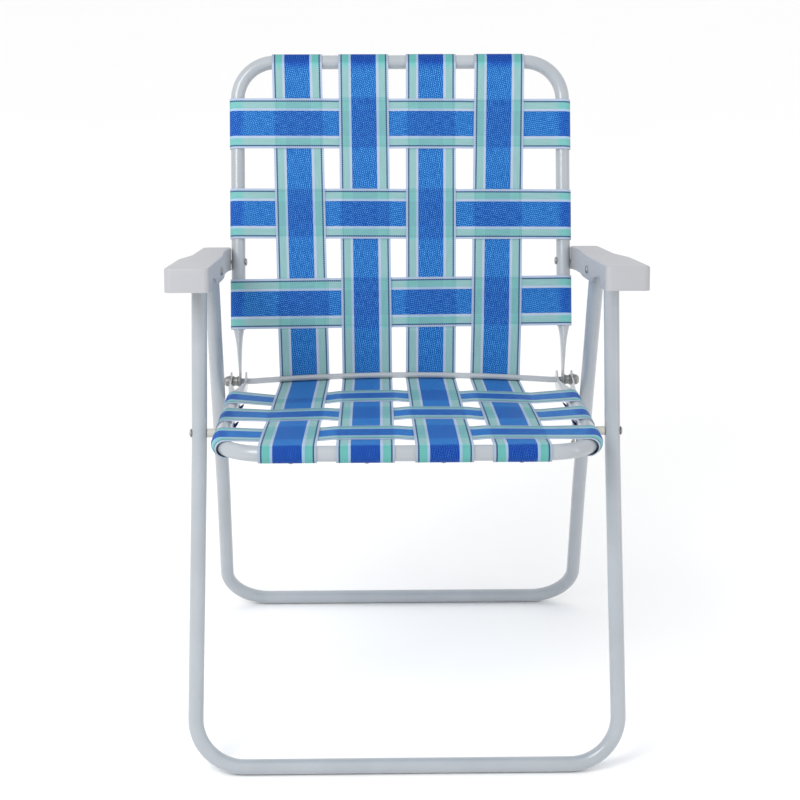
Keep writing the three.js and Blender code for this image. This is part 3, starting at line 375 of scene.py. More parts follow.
def stripe_ramp(tree, across, colours):
    """The webbing's stripes, from one edge to the other, as a stepped ramp."""
    ramp = add_node(tree, "ShaderNodeValToRGB", links={"Fac": across})
    ramp.color_ramp.interpolation = "CONSTANT"
    elements = ramp.color_ramp.elements
    start = 0.0
    for stripe, width in STRIPES:
        element = elements.new(start) if start else elements[0]
        element.color = linear(colours[stripe])
        start += width
    # The ramp comes with a second element at its end, which takes the edge's colour.
    elements[len(elements) - 1].color = linear(colours["edge"])
    return ramp.outputs[0]


def wave(tree, phase):
    """A soft bump at the middle of each whole step of a phase."""
    sine = maths(tree, "SINE", maths(tree, "MULTIPLY", phase, math.pi))
    return maths(tree, "MULTIPLY", sine, sine)


def herringbone(tree, side, along):
    """Floats 2.75 mm apart, in rows that zigzag over the blue band every 16 mm."""
    pitch, turn, slant = 0.00275, 0.008, 0.3

    def zigzag(a, b):
        sway = maths(tree, "MULTIPLY", maths(tree, "PINGPONG", b, turn), slant)
        return maths(tree, "DIVIDE", maths(tree, "ADD", a, sway), pitch)

    column, row = zigzag(side, along), zigzag(along, side)
    half_step = maths(tree, "MULTIPLY", maths(tree, "FLOOR", column), 0.5)
    dots = maths(tree, "MULTIPLY", wave(tree, column), wave(tree, maths(tree, "ADD", row, half_step)))
    return spread(tree, dots, 0.14, 0.34)


def woven_polypropylene():
    """Woven polypropylene webbing: flat slippery tapes with a soft sheen, striped in the loom."""
    w = webbing()
    made, tree = new_material("woven_polypropylene_webbing")
    uv = add_node(tree, "ShaderNodeUVMap", {"uv_map": "UVMap"}).outputs[0]
    split = add_node(tree, "ShaderNodeSeparateXYZ", links={0: uv})
    across, along = split.outputs[0], split.outputs[1]
    single = {"edge": w.pale, "navy": w.navy, "mint": w.mint, "pale": w.pale, "blue": w.blue}
    deep = {"edge": w.pale, "navy": w.navy, "mint": w.deep_mint, "pale": w.deep_pale, "blue": w.deep_blue}
    # Thin tapes let light through, so colours are painted deeper on a tube or on another strap, with
    # shaded copies of the stripes, and the lower strap's stripes are painted in faintly.
    depth = add_node(tree, "ShaderNodeAttribute", {"attribute_name": "crossing"}).outputs["Fac"]
    under = add_node(tree, "ShaderNodeAttribute", {"attribute_name": "other_across"}).outputs["Fac"]
    colour = mix_colour(tree, depth, stripe_ramp(tree, across, single), stripe_ramp(tree, across, deep))
    tinted = mix_colour(tree, 0.20, colour, stripe_ramp(tree, under, single), "MULTIPLY")
    colour = mix_colour(tree, maths(tree, "GREATER_THAN", under, 0.0), colour, tinted)
    # Some of the blue band's paler floats are pulled tighter than others, in streaks along the strap.
    floats = herringbone(tree, maths(tree, "MULTIPLY", across, w.width), along)
    slack = spread(tree, noise(tree, uv, 90.0, 2.0), 0.36, 0.62, 0.2, 1.0)
    floats = maths(tree, "MULTIPLY", floats, slack)
    from_middle = maths(tree, "ABSOLUTE", maths(tree, "SUBTRACT", across, 0.5))
    in_blue = maths(tree, "LESS_THAN", from_middle, 0.245)
    # On a tube the floats are pulled flat, and fewer of them show.
    shown = maths(tree, "SUBTRACT", in_blue, maths(tree, "MULTIPLY", depth, 0.6), clamp=True)
    colour = mix_colour(tree, maths(tree, "MULTIPLY", floats, shown), colour, linear(w.dots))
    # The navy lines are broken: each is a row of stitches 2.6 mm long.
    in_navy = maths(tree, "MULTIPLY", maths(tree, "GREATER_THAN", from_middle, 0.431),
                    maths(tree, "LESS_THAN", from_middle, 0.458))
    stitch = maths(tree, "SINE", maths(tree, "MULTIPLY", along, 2 * math.pi / 0.0026))
    gap = maths(tree, "MULTIPLY", maths(tree, "GREATER_THAN", stitch, 0.6), in_navy)
    colour = mix_colour(tree, maths(tree, "MULTIPLY", gap, 0.6), colour, linear(w.mint))
    # Warp tapes are about 1.3 mm wide and the weft beats 1.3 mm apart; between them it is darker.
    tape = 0.0013
    weave = maths(tree, "MULTIPLY", wave(tree, maths(tree, "MULTIPLY", across, w.width / tape)),
                  wave(tree, maths(tree, "DIVIDE", along, tape)))
    # The yarn is uneven. Where a strap goes deepest, round the front bar, over the top bar and under the side
    # tubes, painted shade darkens it further.
    for shade in (spread(tree, weave, 0.0, 0.4, 0.88, 1.02),
                  spread(tree, noise(tree, uv, 40.0, 3.0), 0.3, 0.7, 0.94, 1.05),
                  spread(tree, depth, 0.8, 1.0, 1.0, 0.78)):
        colour = mix_colour(tree, 1.0, colour, shade, "MULTIPLY")
    height = maths(tree, "ADD", weave, maths(tree, "MULTIPLY", floats, 0.6))
    return finish_material(made, colour, 0.55, {
        "IOR": 1.49, "Specular IOR Level": 0.10, "Normal": bump(tree, height, 0.4, 0.0002)})


@functools.cache
def material(look):
    """Each material is made once."""
    makers = {
        "paint": powder_coated_steel,
        "arm": lambda: moulded_plastic("moulded_polypropylene_white", "A2A3A7", "A8A9AD", 0.42),
        "cream": lambda: moulded_plastic("moulded_nylon_cream", "B2B1AB", "BCBBB5", 0.5),
        "zinc": zinc_plated_steel,
        "webbing": woven_polypropylene,
        "floor": pale_floor,
    }
    return makers[look]()


def dress(obj, look):
    """Gives an object one material all over."""
    obj.data.materials.clear()
    obj.data.materials.append(material(look))


def fit(obj, look, body, slot, *nodes):
    """Gives a piece its material and its body, and hides the CAD nodes that it stands for. The slot is not
    used.
    """
    dress(obj, look)
    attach(obj, body)
    if nodes:
        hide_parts(*nodes)


# Modelling steps

def deselect_all():
    if bpy.context.object and bpy.context.object.mode != "OBJECT":
        bpy.ops.object.mode_set(mode="OBJECT")
    bpy.ops.object.select_all(action="DESELECT")


def make_active(obj):
    deselect_all()
    obj.select_set(True)
    bpy.context.view_layer.objects.active = obj


def apply_place():
    bpy.ops.object.transform_apply(location=True, rotation=True, scale=True)


def put(obj, origin, x_axis, y_axis, z_axis):
    """Turns a piece, drawn round its own origin, to these axes, and puts the place into its mesh."""
    turn = Matrix((x_axis, y_axis, z_axis)).transposed().to_4x4()
    obj.matrix_world = Matrix.Translation(origin) @ turn
    make_active(obj)
    apply_place()


def apply_modifier(obj, kind, **settings):
    make_active(obj)
    modifier = obj.modifiers.new(kind.lower(), kind)
    for key, value in settings.items():
        setattr(modifier, key, value)
    bpy.ops.object.modifier_apply(modifier=modifier.name)


def mirror(obj):
    apply_modifier(obj, "MIRROR", use_axis=(True, False, False), use_mirror_merge=True,
                   merge_threshold=1e-5)
    recalculate(obj)


def round_edges(obj, width, segments):
    apply_modifier(obj, "BEVEL", width=width, segments=segments, limit_method="ANGLE",
                   angle_limit=math.radians(50))


def smooth(obj, degrees=40):
    make_active(obj)
    bpy.ops.object.shade_smooth_by_angle(angle=math.radians(degrees))


def recalculate(obj):
    make_active(obj)
    bpy.ops.object.mode_set(mode="EDIT")
    bpy.ops.mesh.select_all(action="SELECT")
    bpy.ops.mesh.remove_doubles(threshold=1e-6)
    bpy.ops.mesh.normals_make_consistent(inside=False)
    bpy.ops.object.mode_set(mode="OBJECT")


def select_where(obj, test):
    """Selects an object's vertices by their place, and leaves it in edit mode."""
    bpy.ops.object.mode_set(mode="OBJECT")
    for item in (*obj.data.edges, *obj.data.polygons):
        item.select = False
    for vertex in obj.data.vertices:
        vertex.select = bool(test(vertex.co))
    bpy.ops.object.mode_set(mode="EDIT")
    bpy.ops.mesh.select_mode(type="VERT")


def start_ring(name, radius, sides, location, axis):
    deselect_all()
    turn = axis.to_track_quat("Z", "Y").to_euler()
    bpy.ops.mesh.primitive_circle_add(vertices=sides, radius=radius, location=location, rotation=turn)
    obj = bpy.context.object
    obj.name = name
    apply_place()
    bpy.ops.object.mode_set(mode="EDIT")
    bpy.ops.mesh.select_all(action="SELECT")
    return obj


def start_disc(name, radius):
    """A filled circle in the XY plane, in edit mode."""
    deselect_all()
    bpy.ops.mesh.primitive_circle_add(vertices=48, radius=radius, fill_type="NGON")
    obj = bpy.context.object
    obj.name = name
    bpy.ops.object.mode_set(mode="EDIT")
    return obj


def extend(by):
    bpy.ops.mesh.extrude_region_move(TRANSFORM_OT_translate={"value": tuple(by)})


def bend(centre, axis, angle, step=math.radians(6)):
    """Spins the selected ring. The operator turns against the right-hand rule."""
    steps = max(2, math.ceil(abs(angle) / step))
    bpy.ops.mesh.spin(steps=steps, angle=-angle, center=tuple(centre), axis=tuple(axis))


def other_side(obj, name):
    """A mirrored copy of a right-hand piece, for the chair's left."""
    make_active(obj)
    bpy.ops.object.duplicate()
    copy = bpy.context.object
    copy.name = name
    copy.scale.x = -1.0
    apply_place()
    recalculate(copy)
    smooth(copy, 35)
    return copy


# Tube frames

def half_u(name, foot_x, corner, stops):
    """Right half of a U of tube, drawn in the XZ plane: half its bar, a corner, and a leg
    through the stops (x, z)."""
    c = chair()
    first = Vector((stops[0][0] - foot_x, 0.0, stops[0][1]))
    turn = ACROSS.angle(first)
    run_in = corner * math.tan(turn / 2)
    obj = start_ring(name, c.tube / 2, c.sides, (0.0, 0.0, 0.0), ACROSS)
    extend((foot_x - run_in, 0.0, 0.0))
    centre = Vector((foot_x - run_in, 0.0, corner))
    bend(centre, (0.0, -1.0, 0.0), turn)
    here = centre + Vector((corner * math.sin(turn), 0.0, -corner * math.cos(turn)))
    for x, z in stops:
        there = Vector((x, 0.0, z))
        extend(there - here)
        here = there
    bpy.ops.object.mode_set(mode="OBJECT")
    return obj


def finish_u(obj, origin, up, body, node):
    """Mirrors a half U, gives the tube its wall, and stands it up in its place."""
    mirror(obj)
    apply_modifier(obj, "SOLIDIFY", thickness=chair().wall, offset=-1.0, use_even_offset=True)
    smooth(obj, 50)
    put(obj, origin, ACROSS, up.cross(ACROSS), up)
    fit(obj, "paint", body, "frame_paint", node)


def leg_frame(body, pin, up, half_widths, knee_below, above):
    """A pair of legs and their foot bar, below the pin at their top. The tube and its CAD node are
    named for the body, without its last letter."""
    c = chair()
    name = body[:-1]
    foot_x, knee_x, pin_x, tip_x = half_widths
    length = (pin.z - c.tube / 2) / up.z
    stops = ((knee_x, length - knee_below(length)), (pin_x, length), (tip_x, length + above))
    obj = half_u(f"{name}_tube", foot_x, c.foot_corner, stops)
    finish_u(obj, pin - up * length, up, body, f"{name}_frame")


def leg_frames():
    c, d = chair(), directions()
    leg_frame("front_legs", ARM_FRONT, -d["front_down"], FRONT_LEG_WIDTHS,
              lambda length: c.front_knee, c.front_above)
    leg_frame("rear_legs", REAR_LEG_TOP, -d["rear_down"], REAR_LEG_WIDTHS,
              lambda length: length * c.rear_knee, c.rear_above)


def seat_frame():
    c = chair()
    obj = half_u("seat_tube", c.half_width, c.seat_corner, ((c.half_width, c.rail),))
    finish_u(obj, seat_origin(), directions()["seat"], "seat", "seat_frame")


def ear_outline():
    """Stations of an ear: along the seat, its top and bottom above the rail's middle, and how flat
    it is pressed there."""
    c = chair()
    outline = [(0.300, 0.0093, -0.0093, 0.0), (0.313, 0.0093, -0.0093, 0.0),
               (0.322, 0.0094, -0.0092, 0.18), (0.332, 0.0096, -0.0090, 0.42),
               (0.344, 0.0100, -0.0086, 0.68), (0.355, 0.0104, -0.0083, 0.86),
               (0.364, 0.0108, -0.0080, 0.95)]
    low_edge = -0.0075
    for degrees in range(150, -1, -15):
        angle = math.radians(degrees)
        rise = c.ear_radius * max(0.04, math.sin(angle))
        low = low_edge if degrees > 90 else c.rod_up - rise
        outline.append((c.rod_along + c.ear_radius * math.cos(angle), c.rod_up + rise, low, 0.99))
    return outline


def seat_ear(place, sense):
    """One half of the right rail's rear end, split off and pressed flat."""
    c, d = chair(), directions()
    radius = (c.tube - c.wall) / 2
    wall_x, plate_x = c.half_width + sense * radius, c.half_width + sense * c.ear_out
    outline = ear_outline()
    start = outline[0][0]
    obj = start_ring(f"seat_ear_{place}_right", radius, 32, (c.half_width, 0.0, start), Vector((0, 0, 1)))
    select_where(obj, lambda co: (co.x - c.half_width) * sense < -1e-4)
    bpy.ops.mesh.delete(type="VERT")
    bpy.ops.mesh.select_all(action="SELECT")
    before = (start, 0.0, 2 * radius, 0.0, wall_x)
    for z, top, bottom, flat in outline:
        middle, height = (top + bottom) / 2, top - bottom
        across = wall_x + (plate_x - wall_x) * flat
        if z > before[0]:
            extend((across - before[4], middle - before[1], z - before[0]))
        bpy.ops.transform.resize(value=((1 - flat) / (1 - before[3]), height / before[2], 1.0),
                                 center_override=(across, middle, z))
        before = (z, middle, height, flat, across)
    bpy.ops.object.mode_set(mode="OBJECT")
    recalculate(obj)
    apply_modifier(obj, "SOLIDIFY", thickness=c.ear_thick, offset=0.0)
    put(obj, seat_origin(), ACROSS, d["seat_up"], d["seat"])
    recalculate(obj)
    smooth(obj, 40)
    for each in (obj, other_side(obj, f"seat_ear_{place}_left")):
        fit(each, "paint", "seat", "frame_paint")


# Heights above the rod, and how flat the back's tube is pressed there.
FLAT = ((0.012, 1.0), (0.022, 0.93), (0.032, 0.85), (0.042, 0.78), (0.052, 0.69), (0.060, 0.55),
        (0.066, 0.42), (0.072, 0.26), (0.078, 0.11), (0.084, 0.0))


def flat_share(up):
    """How flat the back's tube is pressed, at a height above the rod."""
    if up <= FLAT[0][0]:
        return 1.0
    for (low, a), (high, b) in zip(FLAT, FLAT[1:]):
        if up <= high:
            return a + (b - a) * (up - low) / (high - low)
    return 0.0


def back_frame():
    """The back's tube: round at first, then pressed flat towards the rod."""
    c, d = chair(), directions()
    length, ring_gap, tip_reach = c.back_length, 0.006, 0.0135
    stations = [FLAT[-1][0] - ring_gap * k for k in range(13)] + [
        0.006, 0.0, -0.004, -0.007, -0.010, -0.012]
    obj = half_u("back_tube", c.half_width, c.back_corner,
                 [(c.half_width, length - up) for up in stations])
    make_active(obj)
    for up in stations[1:]:
        select_where(obj, lambda co, z=length - up: co.x > 0 and abs(co.z - z) < 1e-5)
        share = flat_share(up)
        tip = math.sqrt(max(0.0, 1 - (min(0.0, up) / tip_reach) ** 2))
        thin = 1 + (c.pressed_thick / c.tube - 1) * share
        wide = (1 + (c.pressed_wide / c.tube - 1) * share ** 2) * tip
        bpy.ops.transform.resize(value=(thin, wide, 1.0), center_override=(c.half_width, 0.0, length - up))
        bpy.ops.transform.translate(value=(-c.pressed_in * share ** 3, 0.0, 0.0))
        bpy.ops.object.mode_set(mode="OBJECT")
    finish_u(obj, back_end(), -d["back"], "back", "back_frame")


def rod_rise(x):
    """How far the rod is bowed up at a distance from the chair's middle."""
    return chair().rod_bow * max(0.0, 1 - (x / BOW_END) ** 2)


def cross_rod():
    c, up = chair(), directions()["seat_up"]
    steps = 20
    obj = start_ring("cross_rod_bar", c.rod_radius, 20, ROD + up * rod_rise(0.0), ACROSS)
    for k in range(steps):
        x, next_x = BOW_END * k / steps, BOW_END * (k + 1) / steps
        extend(ACROSS * (next_x - x) + up * (rod_rise(next_x) - rod_rise(x)))
    extend(ACROSS * c.rod_end)
    bpy.ops.mesh.edge_face_add()
    bpy.ops.object.mode_set(mode="OBJECT")
    mirror(obj)
    smooth(obj, 50)
    fit(obj, "paint", "seat", "zinc_steel", "cross_rod")


# Armrests

def draw_outline(name, corners, depth):
    """A flat face from corners (x, y, radius), with its walls drawn down from it."""
    deselect_all()
    bpy.ops.mesh.primitive_plane_add(size=0.001)
    obj = bpy.context.object
    obj.name = name
    bpy.ops.object.mode_set(mode="EDIT")
    bpy.ops.mesh.select_all(action="SELECT")
    bpy.ops.mesh.merge(type="CENTER")
    bpy.ops.transform.translate(value=(corners[0][0], corners[0][1], 0.0))
    for (x0, y0, _), (x1, y1, _) in zip(corners, corners[1:]):
        extend((x1 - x0, y1 - y0, 0.0))
    bpy.ops.mesh.select_all(action="SELECT")
    bpy.ops.mesh.edge_face_add()
    for i, (x, y, radius) in enumerate(corners):
        if radius == 0.0:
            continue
        here = Vector((x, y))
        before = Vector(corners[i - 1][:2]) - here
        after = Vector(corners[(i + 1) % len(corners)][:2]) - here
        run = radius * math.tan((math.pi - before.angle(after)) / 2)
        select_where(obj, lambda co, here=here: (co.xy - here).length < 1e-5)
        bpy.ops.mesh.bevel(affect="VERTICES", offset=run, segments=10)
    bpy.ops.mesh.select_all(action="SELECT")
    extend((0.0, 0.0, -depth))
    bpy.ops.object.mode_set(mode="OBJECT")
    return obj


def arm_view():
    """The armrest's own directions, along it and up from it, and how far its pins are apart."""
    reach = ROD + directions()["back"] * chair().arm_pivot_up - ARM_FRONT
    slope = math.degrees(math.atan2(reach.z, reach.y)) - armrest_sizes().top_tilt
    along = heading(slope)
    return along, heading(slope + 90), reach.dot(along)


def put_on_arm(obj):
    """Stands a piece drawn in the armrest's own view at the front pin: X along it, Z up."""
    along, up, _ = arm_view()
    put(obj, ARM_FRONT, along, ACROSS, up)
    recalculate(obj)


def face_sideways(obj, out):
    """Turns a piece drawn flat to face the chair's side, at a distance from its middle."""
    put(obj, (0.0, out, 0.0), (1.0, 0.0, 0.0), (0.0, 0.0, 1.0), (0.0, 1.0, 0.0))
    recalculate(obj)


def arch_cutter():
    """What the arch in the inner side takes away."""
    a = armrest_sizes()
    low, past, reach = a.top - a.depth, 0.006, 0.010
    arch = ((-0.0725, low - past, 0.0), (-0.0535, low + 0.0135, 0.004), (0.018, low + 0.0062, 0.012),
            (0.040, low - past, 0.0))
    cutter = draw_outline("arch_cutter", arch, 2 * reach)
    face_sideways(cutter, a.inner + reach)
    return cutter


def armrest():
    """The right armrest is one moulded channel, with an arch cut in its inner side."""
    a = armrest_sizes()
    rear = arm_view()[2]
    pad = rear - a.pad
    corners = (
        (-a.ahead, a.inner, 0.007), (rear * a.splay_start, a.inner, 0.9),
        (rear * a.splay_end, a.rear_inner, 0.9), (pad - a.pad_ramp, a.rear_inner, 0.0),
        (pad, a.rear_inner - a.pad_rise, 0.0), (rear + a.behind, a.rear_inner - a.pad_rise, 0.006),
        (rear + a.behind, a.rear_outer, 0.009), (rear * a.curve_end, a.rear_outer, a.curve),
        (rear * a.curve_start, a.outer, a.curve), (-a.ahead, a.outer, 0.009))
    obj = draw_outline("armrest_moulding_right", corners, a.depth)
    # The floor of the block comes off, and its rim drops towards the rear in three steps.
    select_where(obj, lambda co: co.z < -a.depth / 2)
    bpy.ops.mesh.delete(type="ONLY_FACE")
    fall = (a.rear_depth - a.depth) / 3
    for start in (0.7, 0.85, 1.0):
        select_where(obj, lambda co, x=rear * start: co.z < -a.depth / 2 and co.x > x)
        bpy.ops.transform.translate(value=(0.0, 0.0, -fall))
    bpy.ops.mesh.select_all(action="SELECT")
    bpy.ops.mesh.normals_make_consistent(inside=False)
    bpy.ops.transform.translate(value=(0.0, 0.0, a.top))
    bpy.ops.object.mode_set(mode="OBJECT")
    round_edges(obj, a.edge, 5)
    apply_modifier(obj, "SOLIDIFY", thickness=a.wall, offset=-1.0, use_even_offset=True)
    cutter = arch_cutter()
    recalculate(obj)
    apply_modifier(obj, "BOOLEAN", operation="DIFFERENCE", object=cutter, solver="EXACT")
    bpy.data.objects.remove(cutter, do_unlink=True)
    put_on_arm(obj)
    smooth(obj, 35)
    return obj


def arm_lug():
    """The plate inside the armrest that the front leg is pinned to."""
    a = armrest_sizes()
    obj = start_disc("armrest_lug_right", a.lug)
    # Its upper half is drawn up into the armrest's top wall.
    select_where(obj, lambda co: co.y > 1e-4)
    bpy.ops.transform.resize(value=(1.0, 0.0, 1.0), center_override=(0.0, 0.0, 0.0))
    bpy.ops.transform.translate(value=(0.0, a.top - a.wall * 0.6, 0.0))
    bpy.ops.mesh.select_all(action="SELECT")
    extend((0.0, 0.0, a.lug_thick))
    bpy.ops.object.mode_set(mode="OBJECT")
    face_sideways(obj, a.lug_out)
    put_on_arm(obj)
    return obj


def armrests():
    right = armrest()
    lug = arm_lug()
    left = other_side(right, "armrest_moulding_left")
    fit(right, "arm", "arms", "arm_plastic", "armrest_right")
    fit(left, "arm", "arms", "arm_plastic", "armrest_left")
    for each in (lug, other_side(lug, "armrest_lug_left")):
        fit(each, "arm", "arms", "arm_plastic")


# Fittings

def turned(name, profile, place, axis, sides=32, closed=True):
    """A turned piece from pairs of radius and distance along its axis."""
    radius, along = profile[0]
    obj = start_ring(name, radius, sides, place + axis * along, axis)
    for next_radius, next_along in profile[1:]:
        extend(axis * (next_along - along))
        factor = next_radius / radius
        bpy.ops.transform.resize(value=(factor,) * 3, center_override=tuple(place + axis * next_along))
        radius, along = next_radius, next_along
    if closed:
        bpy.ops.mesh.select_all(action="SELECT")
        bpy.ops.mesh.fill_holes(sides=0)
    bpy.ops.object.mode_set(mode="OBJECT")
    recalculate(obj)
    smooth(obj, 35)
    return obj


# The radius at an end's last ring, and of a rivet's shank.
POINT = 0.0008
SHANK = 0.0025
# A rivet's head, as radii and heights.
DOME = ((0.0052, 0.0), (0.0052, 0.0006), (0.0048, 0.0013), (0.0039, 0.0019), (0.0024, 0.0022),
        (POINT, 0.0023))


def rivet(node, body, outer_head=True):
    """A rivet with domed heads, the size of its CAD node."""
    low, high = (Vector(corner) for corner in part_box(node))
    middle = (low + high) / 2
    inner, outer = sorted((abs(low.x), abs(high.x)))
    head = DOME[-1][1]
    start, end = inner + head, outer - head * outer_head
    profile = [(r, start - a) for r, a in reversed(DOME)] + [(SHANK, start), (SHANK, end)]
    profile += [(r, end + a) for r, a in DOME] if outer_head else [(POINT, end)]
    place = Vector((0.0, middle.y, middle.z))
    axis = ACROSS * (1.0 if middle.x > 0 else -1.0)
    obj = turned(node.replace("rivet", "pin"), profile, place, axis)
    fit(obj, "zinc", body, "zinc_steel", node)


def spool_and_nut(word, axis):
    """The spool between the back's end and the outer ear, and the nut on the rod's end."""
    spool = turned(f"rod_bush_{word}", (
        (0.0043, 0.2238), (0.0071, 0.2238), (0.00735, 0.2241), (0.00735, 0.2252), (0.0062, 0.2262),
        (0.0062, 0.2301), (0.00735, 0.2311), (0.00735, 0.2322), (0.0071, 0.2325), (0.0043, 0.2325),
        (0.0043, 0.2238)), ROD, axis, closed=False)
    fit(spool, "zinc", "seat", "cream_plastic", f"rod_spool_{word}")
    nut = turned(f"rod_dome_nut_{word}", (
        (0.0043, 0.2382), (0.0066, 0.2382), (0.0070, 0.2385), (0.0070, 0.2410), (0.0062, 0.2415),
        (0.0058, 0.2425), (0.0046, 0.2437), (0.0028, 0.2443), (POINT, 0.2444)), ROD, axis, closed=False)
    apply_modifier(nut, "SOLIDIFY", thickness=0.0006, offset=-1.0)
    smooth(nut, 35)
    fit(nut, "zinc", "seat", "zinc_steel", f"rod_cap_nut_{word}")


def pivot_bush(word, axis):
    """The bush at the seat's pivot, as long as its CAD node."""
    node = f"seat_pivot_spacer_{word}"
    start, end = sorted(abs(corner[0]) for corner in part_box(node))
    hole, face, radius, chamfer = 0.0028, 0.0052, 0.0055, 0.0003
    bush = turned(f"seat_pivot_bush_{word}", (
        (hole, start), (face, start), (radius, start + chamfer), (radius, end - chamfer),
        (face, end), (hole, end), (hole, start)), SEAT_PIVOT, axis, closed=False)
    fit(bush, "cream", "front_legs", "cream_plastic", node)


def link(word):
    """The flat steel link from the cross rod to the rear leg."""
    c, d = chair(), directions()
    reach = REAR_LEG_TOP + d["rear_down"] * c.link_down - ROD
    along = reach.normalized()
    node = f"link_{word}"
    obj = start_disc(f"link_plate_{word}", c.link_radius)
    select_where(obj, lambda co: co.x > 1e-4)
    bpy.ops.transform.translate(value=(reach.length, 0.0, 0.0))
    bpy.ops.mesh.select_all(action="SELECT")
    extend((0.0, 0.0, c.link_thick))
    bpy.ops.object.mode_set(mode="OBJECT")
    recalculate(obj)
    round_edges(obj, 0.0004, 3)
    start = min(corner[0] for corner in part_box(node))
    put(obj, (start, ROD.y, ROD.z), along, ACROSS.cross(along), ACROSS)
    recalculate(obj)
    smooth(obj, 35)
    fit(obj, "zinc", "links", "zinc_steel", node)


def screw(node, centre, outward, up, body):
    """A pan-head screw through a strap's end into the tube."""
    angle = math.radians(SCREW_ANGLE)
    axis = outward * math.cos(angle) + up * math.sin(angle)
    wall, face = chair().tube / 2, wrap_radius() + webbing().thickness / 2 + 0.0002
    profile = ((POINT, wall - 0.0036), (0.0016, wall - 0.0028), (0.0016, face),
               (0.0038, face), (0.0038, face + 0.0005), (0.0034, face + 0.0011),
               (0.0024, face + 0.0015), (0.0013, face + 0.0016), (0.0011, face + 0.0008))
    obj = turned(node.replace("screw", "pan_screw"), profile, centre, axis, 24)
    fit(obj, "zinc", body, "zinc_steel", node)


def screws():
    """Two screws in each strap across, and one at each end of each strap lengthwise."""
    c, d = chair(), directions()
    front, top = seat_origin(), back_end()
    seat = ("seat", "s", SEAT_STRAPS, front, d["seat"], d["seat_up"])
    back = ("back", "h", BACK_STRAPS, ROD, d["back"], d["back_front"])
    for body, letter, places, origin, along, up in (seat, back):
        for number, place in enumerate(places, 1):
            for k, side in enumerate((-1, 1), 1):
                outward = ACROSS * side
                screw(f"{body}_strap_{letter}{number}_screw_{k}",
                      origin + along * place + outward * c.half_width, outward, up, body)
    for number, x in enumerate(V_STRAPS, 1):
        screw(f"seat_strap_v{number}_screw_1", front + ACROSS * x, -d["seat"], d["seat_up"], "seat")
        screw(f"back_strap_v{number}_screw_1", top + ACROSS * x, d["back"], d["back_front"], "back")


def fittings():
    for word, side in SIDES:
        rivet(f"seat_pivot_rivet_{word}", "front_legs")
        rivet(f"arm_front_rivet_{word}", "front_legs")
        rivet(f"arm_rear_rivet_{word}", "back", outer_head=False)
        rivet(f"rear_leg_rivet_{word}", "arms")
        rivet(f"link_rivet_{word}", "links", outer_head=False)
        spool_and_nut(word, ACROSS * side)
        pivot_bush(word, ACROSS * side)
        link(word)
    screws()


# Webbing

def fade(value, start, end):
    """From 0 before the start to 1 after the end."""
    t = min(1.0, max(0.0, (value - start) / (end - start)))
    return t * t * (3 - 2 * t)


def arc_points(centre, radius, start, end, count=24):
    points = []
    for k in range(count + 1):
        angle = math.radians(start + (end - start) * k / count)
        points.append((centre[0] + radius * math.cos(angle), centre[1] + radius * math.sin(angle)))
    return points


def line_points(start, end, count=20):
    """The points between two others, without them."""
    return [tuple(Vector(start).lerp(Vector(end), k / count)) for k in range(1, count)]


def wrap_radius():
    """The middle of the webbing's thickness, where it goes round a tube."""
    return chair().tube / 2 + 0.0003 + webbing().thickness / 2


def woven_points(centres, levels, start, end):
    """The run between two places, over and under the straps that it crosses."""
    w = webbing()
    half = w.width / 2 + 0.0015
    knots = [(start, 0.0)]
    for centre, level in zip(centres, levels):
        knots += [(centre - half, level), (centre + half, level)]
    knots.append((end, 0.0))
    points = []
    count = max(2, math.ceil((end - start) / w.step))
    for k in range(count + 1):
        a = start + (end - start) * k / count
        for (a0, l0), (a1, l1) in zip(knots, knots[1:]):
            if a0 <= a <= a1:
                level = l0 + (l1 - l0) * fade(a, a0, max(a1, a0 + 1e-9))
        points.append((a, wrap_radius() + w.weave * level))
    return points


def seat_dip(x, along):
    """How far the webbing lies below the rails' top: it runs straight from the front bar to under
    the bowed rod."""
    c = chair()
    under_rod = c.rod_up + rod_rise(x) - c.rod_radius - 0.001
    share = min(1.0, max(0.0, along / c.rod_along))
    return share * max(0.0, wrap_radius() - under_rod)


def corner_shift(behind_bar):
    """How far the seat's side tube has bent inwards, behind the front bar."""
    corner = chair().seat_corner
    into = min(corner, max(0.0, corner - behind_bar))
    return corner - math.sqrt(corner ** 2 - into ** 2)


def drift_at(index, share, back):
    """A long strap's sideways pull, at a share of the way up the back or along the seat."""
    front, rod, top = V_DRIFT[index]
    return rod + (top - rod) * share if back else front + (rod - front) * share


def crossing_at(a, centres):
    """Whether a place along a strap lies in a crossing, and where across the other strap."""
    width = webbing().width
    for centre in centres:
        offset = a - centre
        if abs(offset) <= width / 2:
            return 0.5, 0.5 + offset / width
    return 0.0, -1.0


def offsets_across():
    w = webbing()
    return [w.width * (k / w.columns - 0.5) for k in range(w.columns + 1)]


